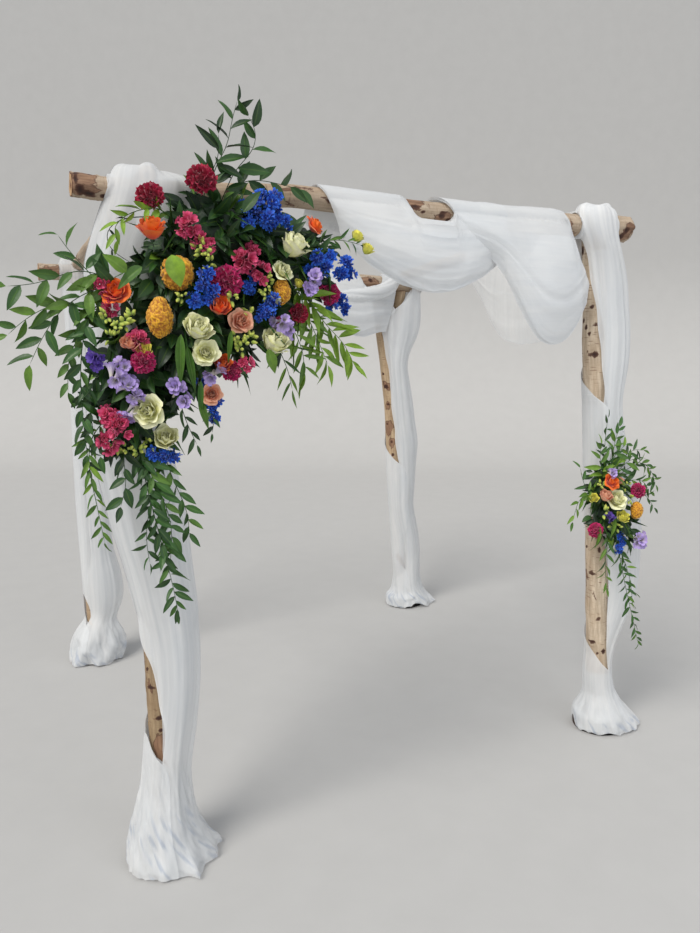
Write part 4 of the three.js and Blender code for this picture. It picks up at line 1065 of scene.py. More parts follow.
# Flowers, from the middle of the four feet: kind, then each bloom's x, y, height and radius.
BLOOMS = {
    "crimson": [(-0.990, -1.06, 2.030, 0.036), (-0.860, -1.08, 2.080, 0.038),
      (-0.575, -1.05, 1.740, 0.028)],
    "magenta": [(-0.810, -1.12, 1.820, 0.040), (-0.470, -1.03, 1.800, 0.034),
      (-1.040, -1.12, 1.610, 0.030), (-0.800, -1.11, 1.580, 0.026), (0.870, -1.02, 1.080, 0.028),
      (0.700, -0.98, 0.930, 0.028)],
    "orange": [(-1.000, -1.11, 1.940, 0.040), (-1.090, -1.06, 1.790, 0.038),
      (-0.840, -1.14, 1.750, 0.034), (-0.520, -1.05, 1.990, 0.032), (-0.830, -1.12, 1.600, 0.030),
      (0.720, -1.03, 1.130, 0.030)],
    "mustard": [(-0.940, -1.11, 1.835, 0.043), (-0.992, -1.12, 1.722, 0.033),
      (-0.640, -1.09, 1.800, 0.025), (0.870, -1.02, 1.000, 0.026)],
    "cream": [(-0.610, -1.10, 1.918, 0.048), (-0.640, -1.10, 1.855, 0.030),
      (-0.905, -1.15, 1.690, 0.044), (-0.885, -1.16, 1.632, 0.034), (-0.676, -1.11, 1.652, 0.048),
      (-1.030, -1.11, 1.480, 0.042), (-0.980, -1.08, 1.400, 0.038), (0.750, -1.03, 1.060, 0.041),
      (-0.665, -1.09, 1.775, 0.026)],
    "pink": [(-0.905, -1.12, 1.955, 0.030), (-0.870, -1.12, 1.920, 0.026),
      (-1.120, -1.03, 1.800, 0.026), (-1.100, -1.05, 1.745, 0.026), (-0.750, -1.10, 1.875, 0.030),
      (-0.705, -1.09, 1.845, 0.026), (-0.725, -1.10, 1.905, 0.020), (-1.125, -1.07, 1.468, 0.026),
      (-1.100, -1.09, 1.432, 0.029), (-1.128, -1.07, 1.400, 0.026), (-1.105, -1.09, 1.452, 0.026),
      (-1.040, -1.10, 1.660, 0.028), (-0.770, -1.13, 1.600, 0.022), (-0.640, -1.06, 1.700, 0.024)],
    "peach": [(0.700, -1.02, 1.070, 0.030), (-0.775, -1.13, 1.715, 0.034),
      (-1.070, -1.11, 1.655, 0.026), (-0.860, -1.12, 1.520, 0.028), (0.790, -1.00, 1.120, 0.020)],
    "blue": [(-0.715, -1.09, 2.030, 0.020), (-0.690, -1.10, 1.995, 0.020),
      (-0.650, -1.08, 2.055, 0.018), (-0.640, -1.06, 2.020, 0.018), (-0.735, -1.08, 1.985, 0.018),
      (-0.615, -1.06, 1.990, 0.018), (-0.680, -1.07, 2.010, 0.019), (-0.660, -1.07, 1.975, 0.018),
      (-0.870, -1.14, 1.835, 0.020), (-0.885, -1.14, 1.800, 0.021), (-0.855, -1.14, 1.790, 0.020),
      (-0.900, -1.13, 1.770, 0.019), (-0.870, -1.13, 1.765, 0.017), (-0.690, -1.11, 1.745, 0.019),
      (-0.670, -1.10, 1.770, 0.019), (-0.710, -1.11, 1.730, 0.017), (-0.740, -1.08, 1.805, 0.018),
      (-0.720, -1.08, 1.830, 0.017), (-0.530, -1.09, 1.895, 0.020), (-0.500, -1.08, 1.870, 0.020),
      (-0.545, -1.08, 1.860, 0.019), (-0.480, -1.07, 1.900, 0.018), (-0.410, -1.04, 1.890, 0.020),
      (-0.430, -1.04, 1.855, 0.019), (-0.395, -1.03, 1.860, 0.017), (-0.450, -1.03, 1.760, 0.017),
      (-0.420, -1.02, 1.785, 0.016), (-0.405, -1.02, 1.755, 0.016), (-0.470, -1.02, 1.745, 0.016),
      (-0.860, -1.08, 1.520, 0.018), (-0.835, -1.07, 1.500, 0.018), (-0.850, -1.08, 1.480, 0.017),
      (-0.845, -1.08, 1.450, 0.015), (-0.870, -1.08, 1.545, 0.017), (-0.700, -1.09, 2.050, 0.018),
      (-0.670, -1.09, 2.035, 0.020), (-0.710, -1.09, 2.000, 0.020), (-0.735, -1.08, 2.020, 0.017),
      (-0.640, -1.07, 1.990, 0.019), (-1.010, -1.07, 1.365, 0.018), (-0.985, -1.07, 1.350, 0.018),
      (-0.960, -1.06, 1.340, 0.017), (0.810, -1.00, 0.900, 0.016), (0.820, -1.00, 0.875, 0.015),
      (0.800, -1.00, 0.860, 0.014), (0.815, -0.99, 0.835, 0.013)],
    "lilac": [(-1.110, -1.11, 1.570, 0.028), (-1.080, -1.11, 1.545, 0.026),
      (-1.090, -1.10, 1.595, 0.024), (-1.060, -1.11, 1.515, 0.024), (-1.075, -1.10, 1.480, 0.024),
      (-1.095, -1.09, 1.460, 0.024), (-0.955, -1.12, 1.535, 0.028), (-0.935, -1.12, 1.505, 0.026),
      (-0.860, -1.13, 1.580, 0.026), (-0.545, -1.11, 1.835, 0.030), (-0.560, -1.10, 1.800, 0.024),
      (-0.650, -1.11, 1.710, 0.028), (-0.625, -1.10, 1.690, 0.024), (0.720, -1.02, 1.160, 0.022),
      (0.890, -1.02, 0.880, 0.030), (0.915, -1.01, 0.860, 0.022)],
    "yellow": [(-0.385, -1.05, 1.965, 0.024), (-0.350, -1.05, 1.930, 0.024),
      (-1.035, -1.12, 1.635, 0.022), (0.670, -0.99, 1.060, 0.022), (-0.590, -1.09, 1.820, 0.016),
      (0.775, -1.04, 0.985, 0.028)],
    "purple": [(-1.150, -1.07, 1.622, 0.017), (-1.142, -1.07, 1.602, 0.014),
      (0.725, -1.02, 0.995, 0.020)],
    "lime": [(-0.870, -1.13, 1.890, 0.014), (-0.862, -1.13, 1.868, 0.013),
      (-0.880, -1.13, 1.905, 0.014), (-0.858, -1.13, 1.850, 0.011), (-1.080, -1.10, 1.705, 0.014),
      (-1.100, -1.10, 1.695, 0.013), (-1.060, -1.10, 1.720, 0.014), (-1.110, -1.09, 1.670, 0.012),
      (-1.120, -1.08, 1.720, 0.013), (-0.790, -1.13, 1.668, 0.014), (-0.765, -1.13, 1.660, 0.014),
      (-0.780, -1.13, 1.640, 0.013), (-0.750, -1.12, 1.672, 0.013), (-0.690, -1.10, 1.835, 0.013),
      (-0.688, -1.10, 1.812, 0.012), (-0.695, -1.10, 1.790, 0.011), (-1.110, -1.06, 1.385, 0.013),
      (-1.080, -1.06, 1.375, 0.013), (-1.050, -1.07, 1.372, 0.012), (-1.020, -1.07, 1.385, 0.012),
      (-0.560, -1.06, 1.925, 0.014), (-0.800, -1.13, 1.775, 0.014), (-0.740, -1.11, 1.735, 0.015),
      (-0.930, -1.12, 1.775, 0.013), (0.700, -1.02, 1.010, 0.014), (0.760, -1.02, 0.950, 0.013),
      (0.690, -1.00, 1.110, 0.014), (0.820, -1.01, 1.100, 0.013), (0.835, -1.01, 1.050, 0.012)],
}
# The masses that the flowers are set in: x, y, height and half sizes.
MASSES = {
    "left": [(-0.925, -1.010, 1.865, 0.110, 0.090, 0.130),
      (-0.800, -1.010, 1.950, 0.165, 0.095, 0.130), (-0.610, -0.990, 1.890, 0.160, 0.090, 0.110),
      (-0.880, -1.015, 1.700, 0.160, 0.105, 0.170), (-1.030, -1.000, 1.580, 0.120, 0.090, 0.160),
      (-1.050, -0.990, 1.450, 0.090, 0.080, 0.100), (-0.700, -0.995, 1.730, 0.130, 0.085, 0.110)],
    "right": [(0.770, -0.935, 1.090, 0.080, 0.070, 0.100),
      (0.800, -0.935, 0.970, 0.090, 0.065, 0.090), (0.860, -0.945, 0.920, 0.060, 0.055, 0.060)],
}
# The middles that the left and right blooms face away from.
HEARTS = np.array([-0.86, -0.80, 1.72]), np.array([0.79, -0.86, 1.02])
# How near the posts the leaves and the dark painted-shade cores of the masses may come.
LEAF_BACK, SHADE_CORE_BACK = -0.90, -0.905
# Sprays of leaves: the points of the stem, leaf length and width, the space between leaves, and
# how light the green is.
SPRAYS = [
    ([(-1.00, -1.02, 1.80), (-1.127, -1.05, 1.805), (-1.223, -1.055, 1.750),
      (-1.280, -1.055, 1.665), (-1.308, -1.05, 1.603)], 0.082, 0.029, 0.026, 0.50),
    ([(-1.02, -1.02, 1.80), (-1.175, -1.06, 1.845), (-1.284, -1.06, 1.800), (-1.350, -1.06, 1.795)],
      0.080, 0.030, 0.034, 0.48),
    ([(-1.04, -1.02, 1.78), (-1.132, -1.05, 1.812), (-1.200, -1.05, 1.889), (-1.223, -1.05, 1.925)],
      0.078, 0.030, 0.032, 0.55),
    ([(-1.04, -1.02, 1.72), (-1.228, -1.06, 1.764), (-1.312, -1.06, 1.719), (-1.355, -1.06, 1.677)],
      0.082, 0.030, 0.030, 0.58),
    ([(-1.06, -1.02, 1.79), (-1.150, -1.06, 1.766), (-1.182, -1.06, 1.663), (-1.191, -1.06, 1.563),
      (-1.188, -1.055, 1.433), (-1.179, -1.05, 1.326)], 0.062, 0.024, 0.022, 0.35),
    ([(-1.08, -1.02, 1.62), (-1.165, -1.05, 1.56), (-1.170, -1.06, 1.45), (-1.150, -1.06, 1.36)],
      0.060, 0.024, 0.022, 0.28),
    ([(-1.06, -1.00, 1.70), (-1.17, -1.03, 1.70), (-1.215, -1.04, 1.62), (-1.220, -1.04, 1.53)],
      0.066, 0.026, 0.026, 0.48),
    ([(-1.10, -1.01, 1.48), (-1.180, -1.05, 1.406), (-1.180, -1.06, 1.312), (-1.164, -1.06, 1.216),
      (-1.152, -1.06, 1.125)], 0.052, 0.013, 0.017, 0.66),
    ([(-0.82, -0.99, 2.02), (-0.815, -1.04, 2.116), (-0.774, -1.05, 2.184), (-0.761, -1.05, 2.255),
      (-0.745, -1.05, 2.300)], 0.075, 0.022, 0.028, 0.22),
    ([(-0.80, -0.99, 2.00), (-0.756, -1.04, 2.122), (-0.698, -1.05, 2.179), (-0.688, -1.05, 2.232),
      (-0.715, -1.05, 2.265)], 0.085, 0.032, 0.032, 0.30),
    ([(-0.84, -0.99, 2.00), (-0.83, -1.03, 2.09), (-0.80, -1.05, 2.15), (-0.80, -1.05, 2.21)],
      0.090, 0.024, 0.034, 0.15),
    ([(-0.80, -0.99, 2.00), (-0.736, -1.02, 2.101), (-0.671, -1.03, 2.107), (-0.602, -1.02, 2.100),
      (-0.548, -1.01, 2.095)], 0.085, 0.032, 0.034, 0.30),
    ([(-0.92, -1.02, 1.98), (-0.976, -1.08, 2.007), (-1.053, -1.09, 1.985), (-1.100, -1.09, 1.945),
      (-1.085, -1.09, 1.914)], 0.062, 0.018, 0.020, 0.90),
    ([(-0.96, -1.02, 1.99), (-1.060, -1.07, 1.975), (-1.112, -1.08, 1.945), (-1.112, -1.08, 1.895),
      (-1.050, -1.08, 1.860)], 0.030, 0.006, 0.050, 0.10),
    ([(-0.65, -1.00, 1.92), (-0.567, -1.05, 1.920), (-0.487, -1.05, 1.952), (-0.422, -1.05, 1.956),
      (-0.372, -1.05, 1.944)], 0.055, 0.010, 0.016, 0.50),
    ([(-0.64, -1.00, 1.95), (-0.580, -1.03, 1.985), (-0.520, -1.04, 1.960), (-0.460, -1.04, 1.925)],
      0.060, 0.014, 0.020, 0.30),
    ([(-0.62, -1.00, 1.84), (-0.537, -1.05, 1.780), (-0.489, -1.05, 1.708), (-0.423, -1.05, 1.655),
      (-0.392, -1.05, 1.589)], 0.095, 0.021, 0.016, 0.95),
    ([(-0.62, -1.00, 1.80), (-0.553, -1.05, 1.751), (-0.512, -1.05, 1.664), (-0.480, -1.05, 1.590)],
      0.090, 0.020, 0.016, 0.82),
    ([(-0.64, -1.00, 1.74), (-0.590, -1.05, 1.700), (-0.560, -1.05, 1.630), (-0.555, -1.05, 1.555)],
      0.085, 0.016, 0.017, 0.70),
    ([(-0.68, -1.00, 1.70), (-0.640, -1.05, 1.650), (-0.610, -1.06, 1.570), (-0.600, -1.06, 1.520)],
      0.080, 0.011, 0.022, 0.60),
    ([(-1.04, -1.01, 1.45), (-1.050, -1.07, 1.350), (-1.034, -1.10, 1.239), (-1.007, -1.10, 1.110),
      (-0.976, -1.09, 0.977), (-0.965, -1.08, 0.900)], 0.066, 0.020, 0.016, 0.34),
    ([(-1.06, -1.01, 1.45), (-1.095, -1.07, 1.353), (-1.090, -1.09, 1.290), (-1.110, -1.09, 1.225)],
      0.066, 0.028, 0.026, 0.14),
    ([(-1.02, -1.01, 1.42), (-1.035, -1.08, 1.322), (-0.995, -1.10, 1.236), (-0.975, -1.10, 1.150),
      (-0.985, -1.09, 1.050)], 0.068, 0.022, 0.018, 0.42),
    ([(-1.00, -1.01, 1.42), (-1.010, -1.07, 1.330), (-1.030, -1.09, 1.230), (-1.050, -1.09, 1.140),
      (-1.040, -1.09, 1.060)], 0.058, 0.016, 0.020, 0.26),
    ([(-0.98, -1.01, 1.45), (-0.985, -1.06, 1.360), (-0.960, -1.08, 1.270), (-0.930, -1.09, 1.200),
      (-0.925, -1.08, 1.130)], 0.062, 0.020, 0.022, 0.46),
    ([(-0.90, -1.03, 1.58), (-0.862, -1.09, 1.502), (-0.848, -1.10, 1.447), (-0.857, -1.10, 1.410)],
      0.045, 0.014, 0.022, 0.20),
    ([(-0.93, -1.03, 1.60), (-0.950, -1.09, 1.540), (-0.930, -1.10, 1.450), (-0.900, -1.10, 1.380)],
      0.060, 0.016, 0.022, 0.24),
    ([(0.77, -0.94, 1.10), (0.732, -0.985, 1.166), (0.716, -0.985, 1.265), (0.726, -0.985, 1.370)],
      0.052, 0.013, 0.024, 0.35),
    ([(0.77, -0.94, 1.12), (0.765, -0.98, 1.200), (0.775, -0.98, 1.280), (0.800, -0.975, 1.330)],
      0.062, 0.018, 0.017, 0.48),
    ([(0.76, -0.94, 1.10), (0.745, -0.99, 1.170), (0.770, -0.99, 1.230), (0.830, -0.985, 1.260)],
      0.066, 0.021, 0.017, 0.62),
    ([(0.78, -0.94, 1.10), (0.800, -0.99, 1.170), (0.850, -0.99, 1.200), (0.900, -0.985, 1.200)],
      0.066, 0.020, 0.018, 0.46),
    ([(0.75, -0.94, 1.10), (0.710, -0.99, 1.160), (0.690, -0.99, 1.220), (0.700, -0.985, 1.270)],
      0.064, 0.020, 0.019, 0.66),
    ([(0.80, -0.94, 1.08), (0.870, -0.99, 1.120), (0.930, -0.99, 1.110), (0.975, -0.985, 1.060)],
      0.064, 0.018, 0.019, 0.50),
    ([(0.75, -0.94, 1.08), (0.660, -0.985, 1.094), (0.602, -0.98, 1.060), (0.580, -0.98, 0.976)],
      0.055, 0.016, 0.026, 0.62),
    ([(0.75, -0.94, 1.05), (0.670, -0.98, 1.070), (0.620, -0.98, 1.130), (0.605, -0.98, 1.185)],
      0.050, 0.014, 0.028, 0.50),
    ([(0.78, -0.94, 1.10), (0.837, -0.985, 1.158), (0.915, -0.98, 1.192), (0.986, -0.98, 1.147),
      (1.010, -0.98, 1.085)], 0.056, 0.014, 0.015, 0.45),
    ([(0.78, -0.94, 1.13), (0.810, -0.98, 1.200), (0.870, -0.985, 1.240), (0.930, -0.98, 1.230)],
      0.055, 0.014, 0.020, 0.45),
    ([(0.80, -0.94, 1.05), (0.900, -0.98, 1.070), (0.970, -0.98, 1.040), (1.010, -0.98, 0.990)],
      0.050, 0.012, 0.022, 0.40),
    ([(0.80, -0.94, 0.97), (0.850, -0.98, 0.935), (0.905, -0.985, 0.890), (0.950, -0.98, 0.860)],
      0.050, 0.018, 0.014, 0.30),
    ([(0.80, -0.94, 0.95), (0.813, -0.99, 0.859), (0.847, -1.00, 0.710), (0.904, -1.00, 0.553),
      (0.960, -0.99, 0.420)], 0.055, 0.014, 0.019, 0.45),
    ([(0.79, -0.94, 0.95), (0.830, -0.99, 0.830), (0.880, -1.00, 0.720), (0.900, -1.00, 0.620)],
      0.055, 0.013, 0.020, 0.60),
    ([(0.78, -0.94, 0.95), (0.758, -0.99, 0.886), (0.748, -0.99, 0.790), (0.765, -0.99, 0.690)],
      0.060, 0.014, 0.024, 0.55),
]
# Large single leaves: place of the foot, direction, length, width and how light.
SINGLE_LEAVES = [
    ((-0.966, -1.160, 1.878), (0.22, -0.25, -1.0), 0.078, 0.050, 0.98),
    ((-1.070, -1.110, 1.835), (-0.6, -0.3, 0.5), 0.066, 0.034, 0.55),
    ((-0.700, -1.130, 1.640), (0.3, -0.2, -1.0), 0.070, 0.030, 0.60),
    ((-0.950, -1.165, 1.680), (-0.12, -0.2, -1.0), 0.125, 0.026, 0.55),
    ((-0.935, -1.165, 1.650), (0.10, -0.2, -1.0), 0.120, 0.020, 0.62),
    ((-0.905, -1.150, 1.515), (0.25, -0.2, -1.0), 0.090, 0.020, 0.50),
    ((0.740, -1.030, 1.000), (-0.1, -0.2, -1.0), 0.100, 0.016, 0.55),
    ((0.800, -1.020, 0.900), (0.9, -0.2, -1.0), 0.120, 0.014, 0.40),
    ((0.700, -1.000, 0.950), (-0.2, -0.2, -1.0), 0.090, 0.014, 0.50),
    ((-0.900, -1.160, 1.560), (-0.1, -0.2, -1.0), 0.090, 0.016, 0.55),
    ((-0.760, -1.120, 2.000), (0.5, -0.3, 0.8), 0.075, 0.030, 0.35),
    ((-1.030, -1.110, 1.850), (-0.9, -0.2, -0.6), 0.080, 0.030, 0.60),
    ((-0.810, -1.150, 1.690), (-0.2, -0.2, -1.0), 0.085, 0.014, 0.60),
]


def turned(direction, spin):
    """Turns that take the z axis to each direction after a spin about it, as an array of 3 by 3
    matrices."""
    d = unit(np.asarray(direction, float))
    side = unit(np.cross(d, [0.31, 0.17, 0.93]))
    up = np.cross(d, side)
    c, s = np.cos(spin)[:, None], np.sin(spin)[:, None]
    return np.stack([side * c + up * s, up * c - side * s, d], axis=-1)


def scattered(shape, grids, at, direction, size, seed, tip=None):
    """Copies of a few small grids, each turned to its direction, scaled and moved to its place; tip
    marks how far each point is along its petal, and tint how light each petal is."""
    rng = np.random.default_rng(seed)
    at, direction = np.atleast_2d(at), np.atleast_2d(direction)
    m = len(at)
    turn = turned(direction, rng.uniform(0, TAU, m)) * np.broadcast_to(size, (m,))[:, None, None]
    out = np.einsum("mij,nrcj->mnrci", turn, grids) + at[:, None, None, None, :]
    n, rows, cols = grids.shape[:3]
    tip = np.linspace(0, 1, rows)[:, None] if tip is None else tip
    tone = 0.5 + rng.uniform(-0.12, 0.12, (m, n))
    shape.add(out.reshape(-1, rows, cols, 3), tip=tip, tint=tone.ravel())


def cup_flower(rings, seed):
    """A rose or a bud: rings of petals, each ring given as how many petals, how wide and high its
    cup is, how far the rim flares and curls over, and the half angle a petal covers. A petal goes
    out and up the cup by powers of its length, its sides end lower than its middle, and one side
    lies inside its neighbour."""
    rows, cols, twist = 9, 9, 0.06
    rng = np.random.default_rng(seed)
    table = np.repeat(np.array(rings, float), [int(r[0]) for r in rings], axis=0)
    wide, high, flare, curl, half = table[:, 1:].T[:, :, None, None]
    k = np.arange(len(table))[:, None, None]
    u = np.linspace(-1, 1, cols)[None, None, :]
    v = np.linspace(0, 1, rows)[None, :, None] * (1 - 0.24 * np.abs(u) ** 2.4)
    lean = rng.uniform(0.88, 1.12, (3, len(table), 1, 1))
    r = (0.03 + wide * lean[0] * (1 - (1 - v) ** 2.1) * (1 + twist * u) + flare * lean[1] * v ** 5
         + 0.07 * v ** 3 * np.sin(u * 5.2 + k * 1.7))
    z = high * v ** 1.25 - curl * lean[2] * v ** 6 + 0.09 * v * wide * np.sin(u * 4.5 + k * 2.1)
    angle = GOLDEN_ANGLE * k + u * half * (0.55 + 0.45 * np.sqrt(v))
    return stacked(r * np.cos(angle), r * np.sin(angle), z - 0.5)


# The rings of an open rose and of a closed one.
ROSE = [
    (3, 0.11, 0.98, -0.05, 0, 1.9), (4, 0.24, 1.02, -0.06, 0, 1.3),
    (5, 0.40, 0.98, 0.02, 0.03, 1.0), (5, 0.56, 0.88, 0.16, 0.12, 0.95),
    (6, 0.66, 0.70, 0.32, 0.24, 0.85),
]
CUP = [
    (3, 0.13, 1.20, -0.05, 0, 1.9), (4, 0.30, 1.26, -0.08, 0, 1.3), (5, 0.48, 1.20, 0.0, 0.02, 1.0),
    (4, 0.60, 1.10, 0.10, 0.08, 0.9), (4, 0.65, 0.98, 0.18, 0.14, 0.8),
]


def ball(rows=19, cols=33):
    """Directions over a sphere, from its pole down."""
    q, p = np.linspace(0, TAU, cols)[None, :], np.linspace(0, math.pi, rows)[:, None]
    return stacked(np.sin(p) * np.cos(q), np.sin(p) * np.sin(q), np.cos(p))


def carnation(seed):
    """A carnation: fans from near the middle of a ball to its surface, each wide at the tip,
    pleated by sines and cut into small teeth along its edge."""
    count, rows, cols = 64, 5, 9
    rng = np.random.default_rng(seed)
    i = np.arange(count)
    polar = np.arccos(1 - 1.35 * (i + 0.5) / count)
    angle = GOLDEN_ANGLE * i
    d = stacked(np.sin(polar) * np.cos(angle), np.sin(polar) * np.sin(angle), np.cos(polar))
    u = np.linspace(-1, 1, cols)[None, None, :]
    v = np.linspace(0, 1, rows)[None, :, None]
    k = rng.uniform(0, TAU, (count, 1, 1))
    tooth = 0.05 * v ** 3 * np.cos(u * 16)
    pleat = (0.13 * np.sin(u * 5 + k) + 0.06 * np.sin(u * 11 + 2 * k)) * v ** 1.5
    fan = stacked(0.36 * u * (0.2 + 0.8 * v), pleat, 0.18 + 0.80 * v - 0.16 * u ** 2 * v + tooth)
    turn = turned(d, rng.uniform(0, TAU, count)) * rng.uniform(0.84, 1.06, count)[:, None, None]
    return np.einsum("nij,nrcj->nrci", turn, fan)


def crest(stretch, seed):
    """A cockscomb head: an egg raised into many winding ridges where warped noise crosses zero,
    beaded by finer noise. The second result is painted light: high on the ridges and beads, low
    between them, where it stands for painted shade."""
    d = ball(54, 84)
    warp = stacked(*(noise(d * 2.6, seed + k) for k in range(3)))
    warp = d * [5.0, 5.0, 6.0 * stretch] + 0.9 * warp
    ridge = np.clip(1 - 2.8 * np.abs(noise(warp, seed + 3)), -0.4, 1)
    bead = noise(d * [17, 17, 17 * stretch], seed + 4)
    r = 0.86 + 0.085 * ridge + 0.045 * bead + 0.10 * noise(d * 1.7, seed + 6)
    # painted light: the second result is high on the ridges and beads, low between them
    return d * r[..., None] * [1, 0.85, stretch], np.clip(0.45 + 0.4 * ridge + 0.45 * bead, 0, 1)


def floret(count, rows, cols, ruffle, dish, wide, second):
    """An open floret: rounded petals round a small eye, each dished and ruffled, with a smaller
    second round inside."""
    u = np.linspace(-1, 1, cols)[None, :]
    v = np.linspace(0, 1, rows)[:, None]
    half = wide * np.sin(math.pi * (0.12 + 0.76 * v)) ** 0.8
    petal = stacked(u * half, 0.10 + 0.90 * v - 0.10 * u ** 2 * v,
                    dish * v ** 1.3 + 0.12 * u ** 2 * v + ruffle * np.sin(u * 6) * v)
    i = np.arange(count + second)
    angle = TAU * i / count + 0.6 * (i >= count)
    size = np.where(i < count, 1, 0.62)
    lift = np.where(i < count, np.where(i % 2, 0.10, -0.06), 0.65)
    c, s, size, lift = (w[:, None, None] for w in (np.cos(angle), np.sin(angle), size, lift))
    x, y, z = (petal[..., k] * size for k in range(3))
    return stacked(x * c - y * s, x * s + y * c, z + lift * y)


def funnel(mouth=0.66):
    """A funnel flower: petals along a narrow tube that widens to a mouth and turns over at the
    tips."""
    count, rows, cols = 6, 7, 5
    u = np.linspace(-1, 1, cols)[None, None, :]
    v = np.linspace(0, 1, rows)[None, :, None]
    i = np.arange(count)[:, None, None]
    r = 0.09 + 0.16 * v + (mouth - 0.2) * v ** 3.2 + 0.05 * (i % 2) * v
    z = -1.3 + 1.85 * v - 0.26 * v ** 6
    half = math.pi / count * (1.25 - 0.45 * v ** 5)
    angle = TAU * i / count + u * half
    r = r * (1 - 0.12 * u ** 2 * v)
    return stacked(r * np.cos(angle), r * np.sin(angle), z)


def bud():
    """A bud: an egg whose radius is the sine of the height, pointed at its tip."""
    rows, cols = 6, 8
    q = np.linspace(0, TAU, cols)[None, :]
    v = np.linspace(0, 1, rows)[:, None]
    r = 0.55 * np.sin(math.pi * v ** 0.8) ** 0.9
    return stacked(r * np.cos(q), r * np.sin(q), 2.1 * v - 0.5)[None]


def clustered(shape, grids, table, per, size, seed, reach):
    """Small flowers spread over the front of a ball at each place, each facing out from the ball's
    middle."""
    rng = np.random.default_rng(seed)
    table = np.repeat(table, per, axis=0)
    d = unit(rng.normal(0, 1, (len(table), 3)) + [-0.4, -1.2, 0.3])
    at = table[:, :3] + d * table[:, 3:] * reach * rng.uniform(0.6, 1.1, (len(table), 1))
    toward = d + rng.normal(0, 0.3, d.shape)
    scattered(shape, grids, at, toward, table[:, 3] * size * rng.uniform(0.8, 1.2, len(table)),
              seed + 1)


def leaf(rows=7, cols=5, bend=0.25, fold=0.18, full=0.80):
    """A leaf one unit long and one wide: its half width is a power of the sine of its length, its
    middle line is folded down, and it bends back towards its tip."""
    u = np.linspace(-1, 1, cols)[None, :]
    v = np.linspace(0, 1, rows)[:, None]
    half = 0.5 * np.sin(math.pi * v ** full) ** 0.9
    rise = -bend * v ** 2 + fold * np.abs(u) * half + 0.02 * np.sin(v * 9) * u
    return stacked(u * half, rise, v)[None]


def leaves(shape, at, direction, length, width, seed, tint, grid=None, face=None):
    """Leaves at many places: the leaf's length runs along its direction, and its upper side turns
    to face. The tip mark is how far each point is from the middle rib."""
    rng = np.random.default_rng(seed)
    grid = leaf() if grid is None else grid
    d = unit(direction)
    face = np.array([-0.25, -1.0, 0.35]) + rng.normal(0, 0.5, at.shape) if face is None else face
    side = unit(np.cross(d, face))
    up = np.cross(side, d)
    length, width = (np.broadcast_to(a, len(at))[:, None] for a in (length, width))
    turn = np.stack([side * width, up * length * 0.8, d * length], axis=-1)
    out = np.einsum("mij,nrcj->mnrci", turn, grid) + at[:, None, None, None, :]
    rows, cols = grid.shape[1:3]
    tone = np.asarray(tint, float) + rng.uniform(-0.17, 0.17, len(at))
    shape.add(out.reshape(-1, rows, cols, 3), tip=np.abs(np.linspace(-1, 1, cols))[None, :],
              tint=tone)


def stem_surface(path):
    """A stem: a small circle carried along the path, thinner towards its tip and closed at both
    ends."""
    side, up = beside(path, [0.3, 0.9, 0.1])
    q = np.linspace(0, TAU, 7)
    x, y = np.cos(q)[:, None], np.sin(q)[:, None]
    r = 0.0016 * np.linspace(1, 0.45, len(path))
    r[0] = r[-1] = 0
    return path[:, None] + r[:, None, None] * (side[:, None] * x + up[:, None] * y)


def spray(shape, stems, points, length, width, space, tint, seed):
    """A spray: leaves set on either side of a stem, pointing forward along it and a little down,
    smaller at the tip."""
    steps = 24
    rng = np.random.default_rng(seed)
    path, total = smooth_line(points, steps)
    stems.add(stem_surface(path), tip=0.5, tint=tint * 0.6)
    n = int(total / space)
    at = np.linspace(0.16, 1.0, n)
    where, along = (np.stack([np.interp(at * (steps - 1), np.arange(steps), c) for c in line.T],
                             axis=1) for line in (path, np.gradient(path, axis=0)))
    along = unit(along)
    out = unit(np.cross(along, [-0.2, -1.0, 0.1]))
    sign = np.where(np.arange(n) % 2, 1.0, -1.0)[:, None] * (at < 0.97)[:, None]
    toward = (along * rng.uniform(0.55, 1.0, (n, 1)) + out * sign * rng.uniform(0.5, 1.0, (n, 1))
              + rng.normal(0, 0.22, (n, 3)) + [0, -0.18, -0.15])
    size = rng.uniform(0.75, 1.12, n) * (1 - 0.25 * at ** 3)
    leaves(shape, where, toward, length * size, width * size, seed, tint)


def green_material(name, dark, middle, light):
    """Leaves: green from dark to light by each leaf's tint, which inside the masses is lowered as
    painted shade, a paler middle rib, and a soft waxy gloss."""
    g = Graph(name)
    colour = g.ramp(g.mark("tint"), (0.05, dark), (0.45, middle), (0.95, light))
    cloud = g.noise(g.place((60, 60, 60)), 1, 3, 0.6)
    colour = g.mix(g.ramp(cloud, (0.3, 0.0), (0.75, 0.45)), colour, [c * 0.55 for c in middle])
    rib = g.ramp(g.mark("tip"), (0.0, 0.16), (0.16, 0.0))
    colour = g.mix(rib, colour, light)
    return g.finish(base_color=colour, roughness=g.ramp(cloud, (0.3, 0.38), (0.8, 0.6)),
                    specular_ior_level=0.45,
                    normal=g.bump(g.noise(g.place((220, 220, 220)), 1, 2, 0.5), 0.25, 0.002))


def petal_material(name, foot, tip):
    """Petals: colour from foot to tip by each point's own mark, darkened at the very foot as
    painted shade deep in the flower, lighter or darker by petal, with fine veins."""
    g = Graph("petals_" + name)
    # painted shade: the colour at the very foot is the foot colour darkened to 0.8
    colour = g.ramp(g.mark("tip"), (0.0, [c * 0.80 for c in foot]), (0.35, foot), (0.9, tip))
    colour = g.mix(g.ramp(g.mark("tint"), (0.3, 0.30), (0.6, 0.0)), colour, [c * 0.6 for c in tip])
    vein = g.noise(g.place((170, 170, 170)), 1, 3, 0.6)
    colour = g.mix(g.ramp(vein, (0.35, 0.18), (0.65, 0.0)), colour, [c * 0.7 for c in foot])
    return g.finish(base_color=colour, roughness=0.62, sheen_weight=0.25, sheen_roughness=0.5,
                    normal=g.bump(vein, 0.3, 0.002))


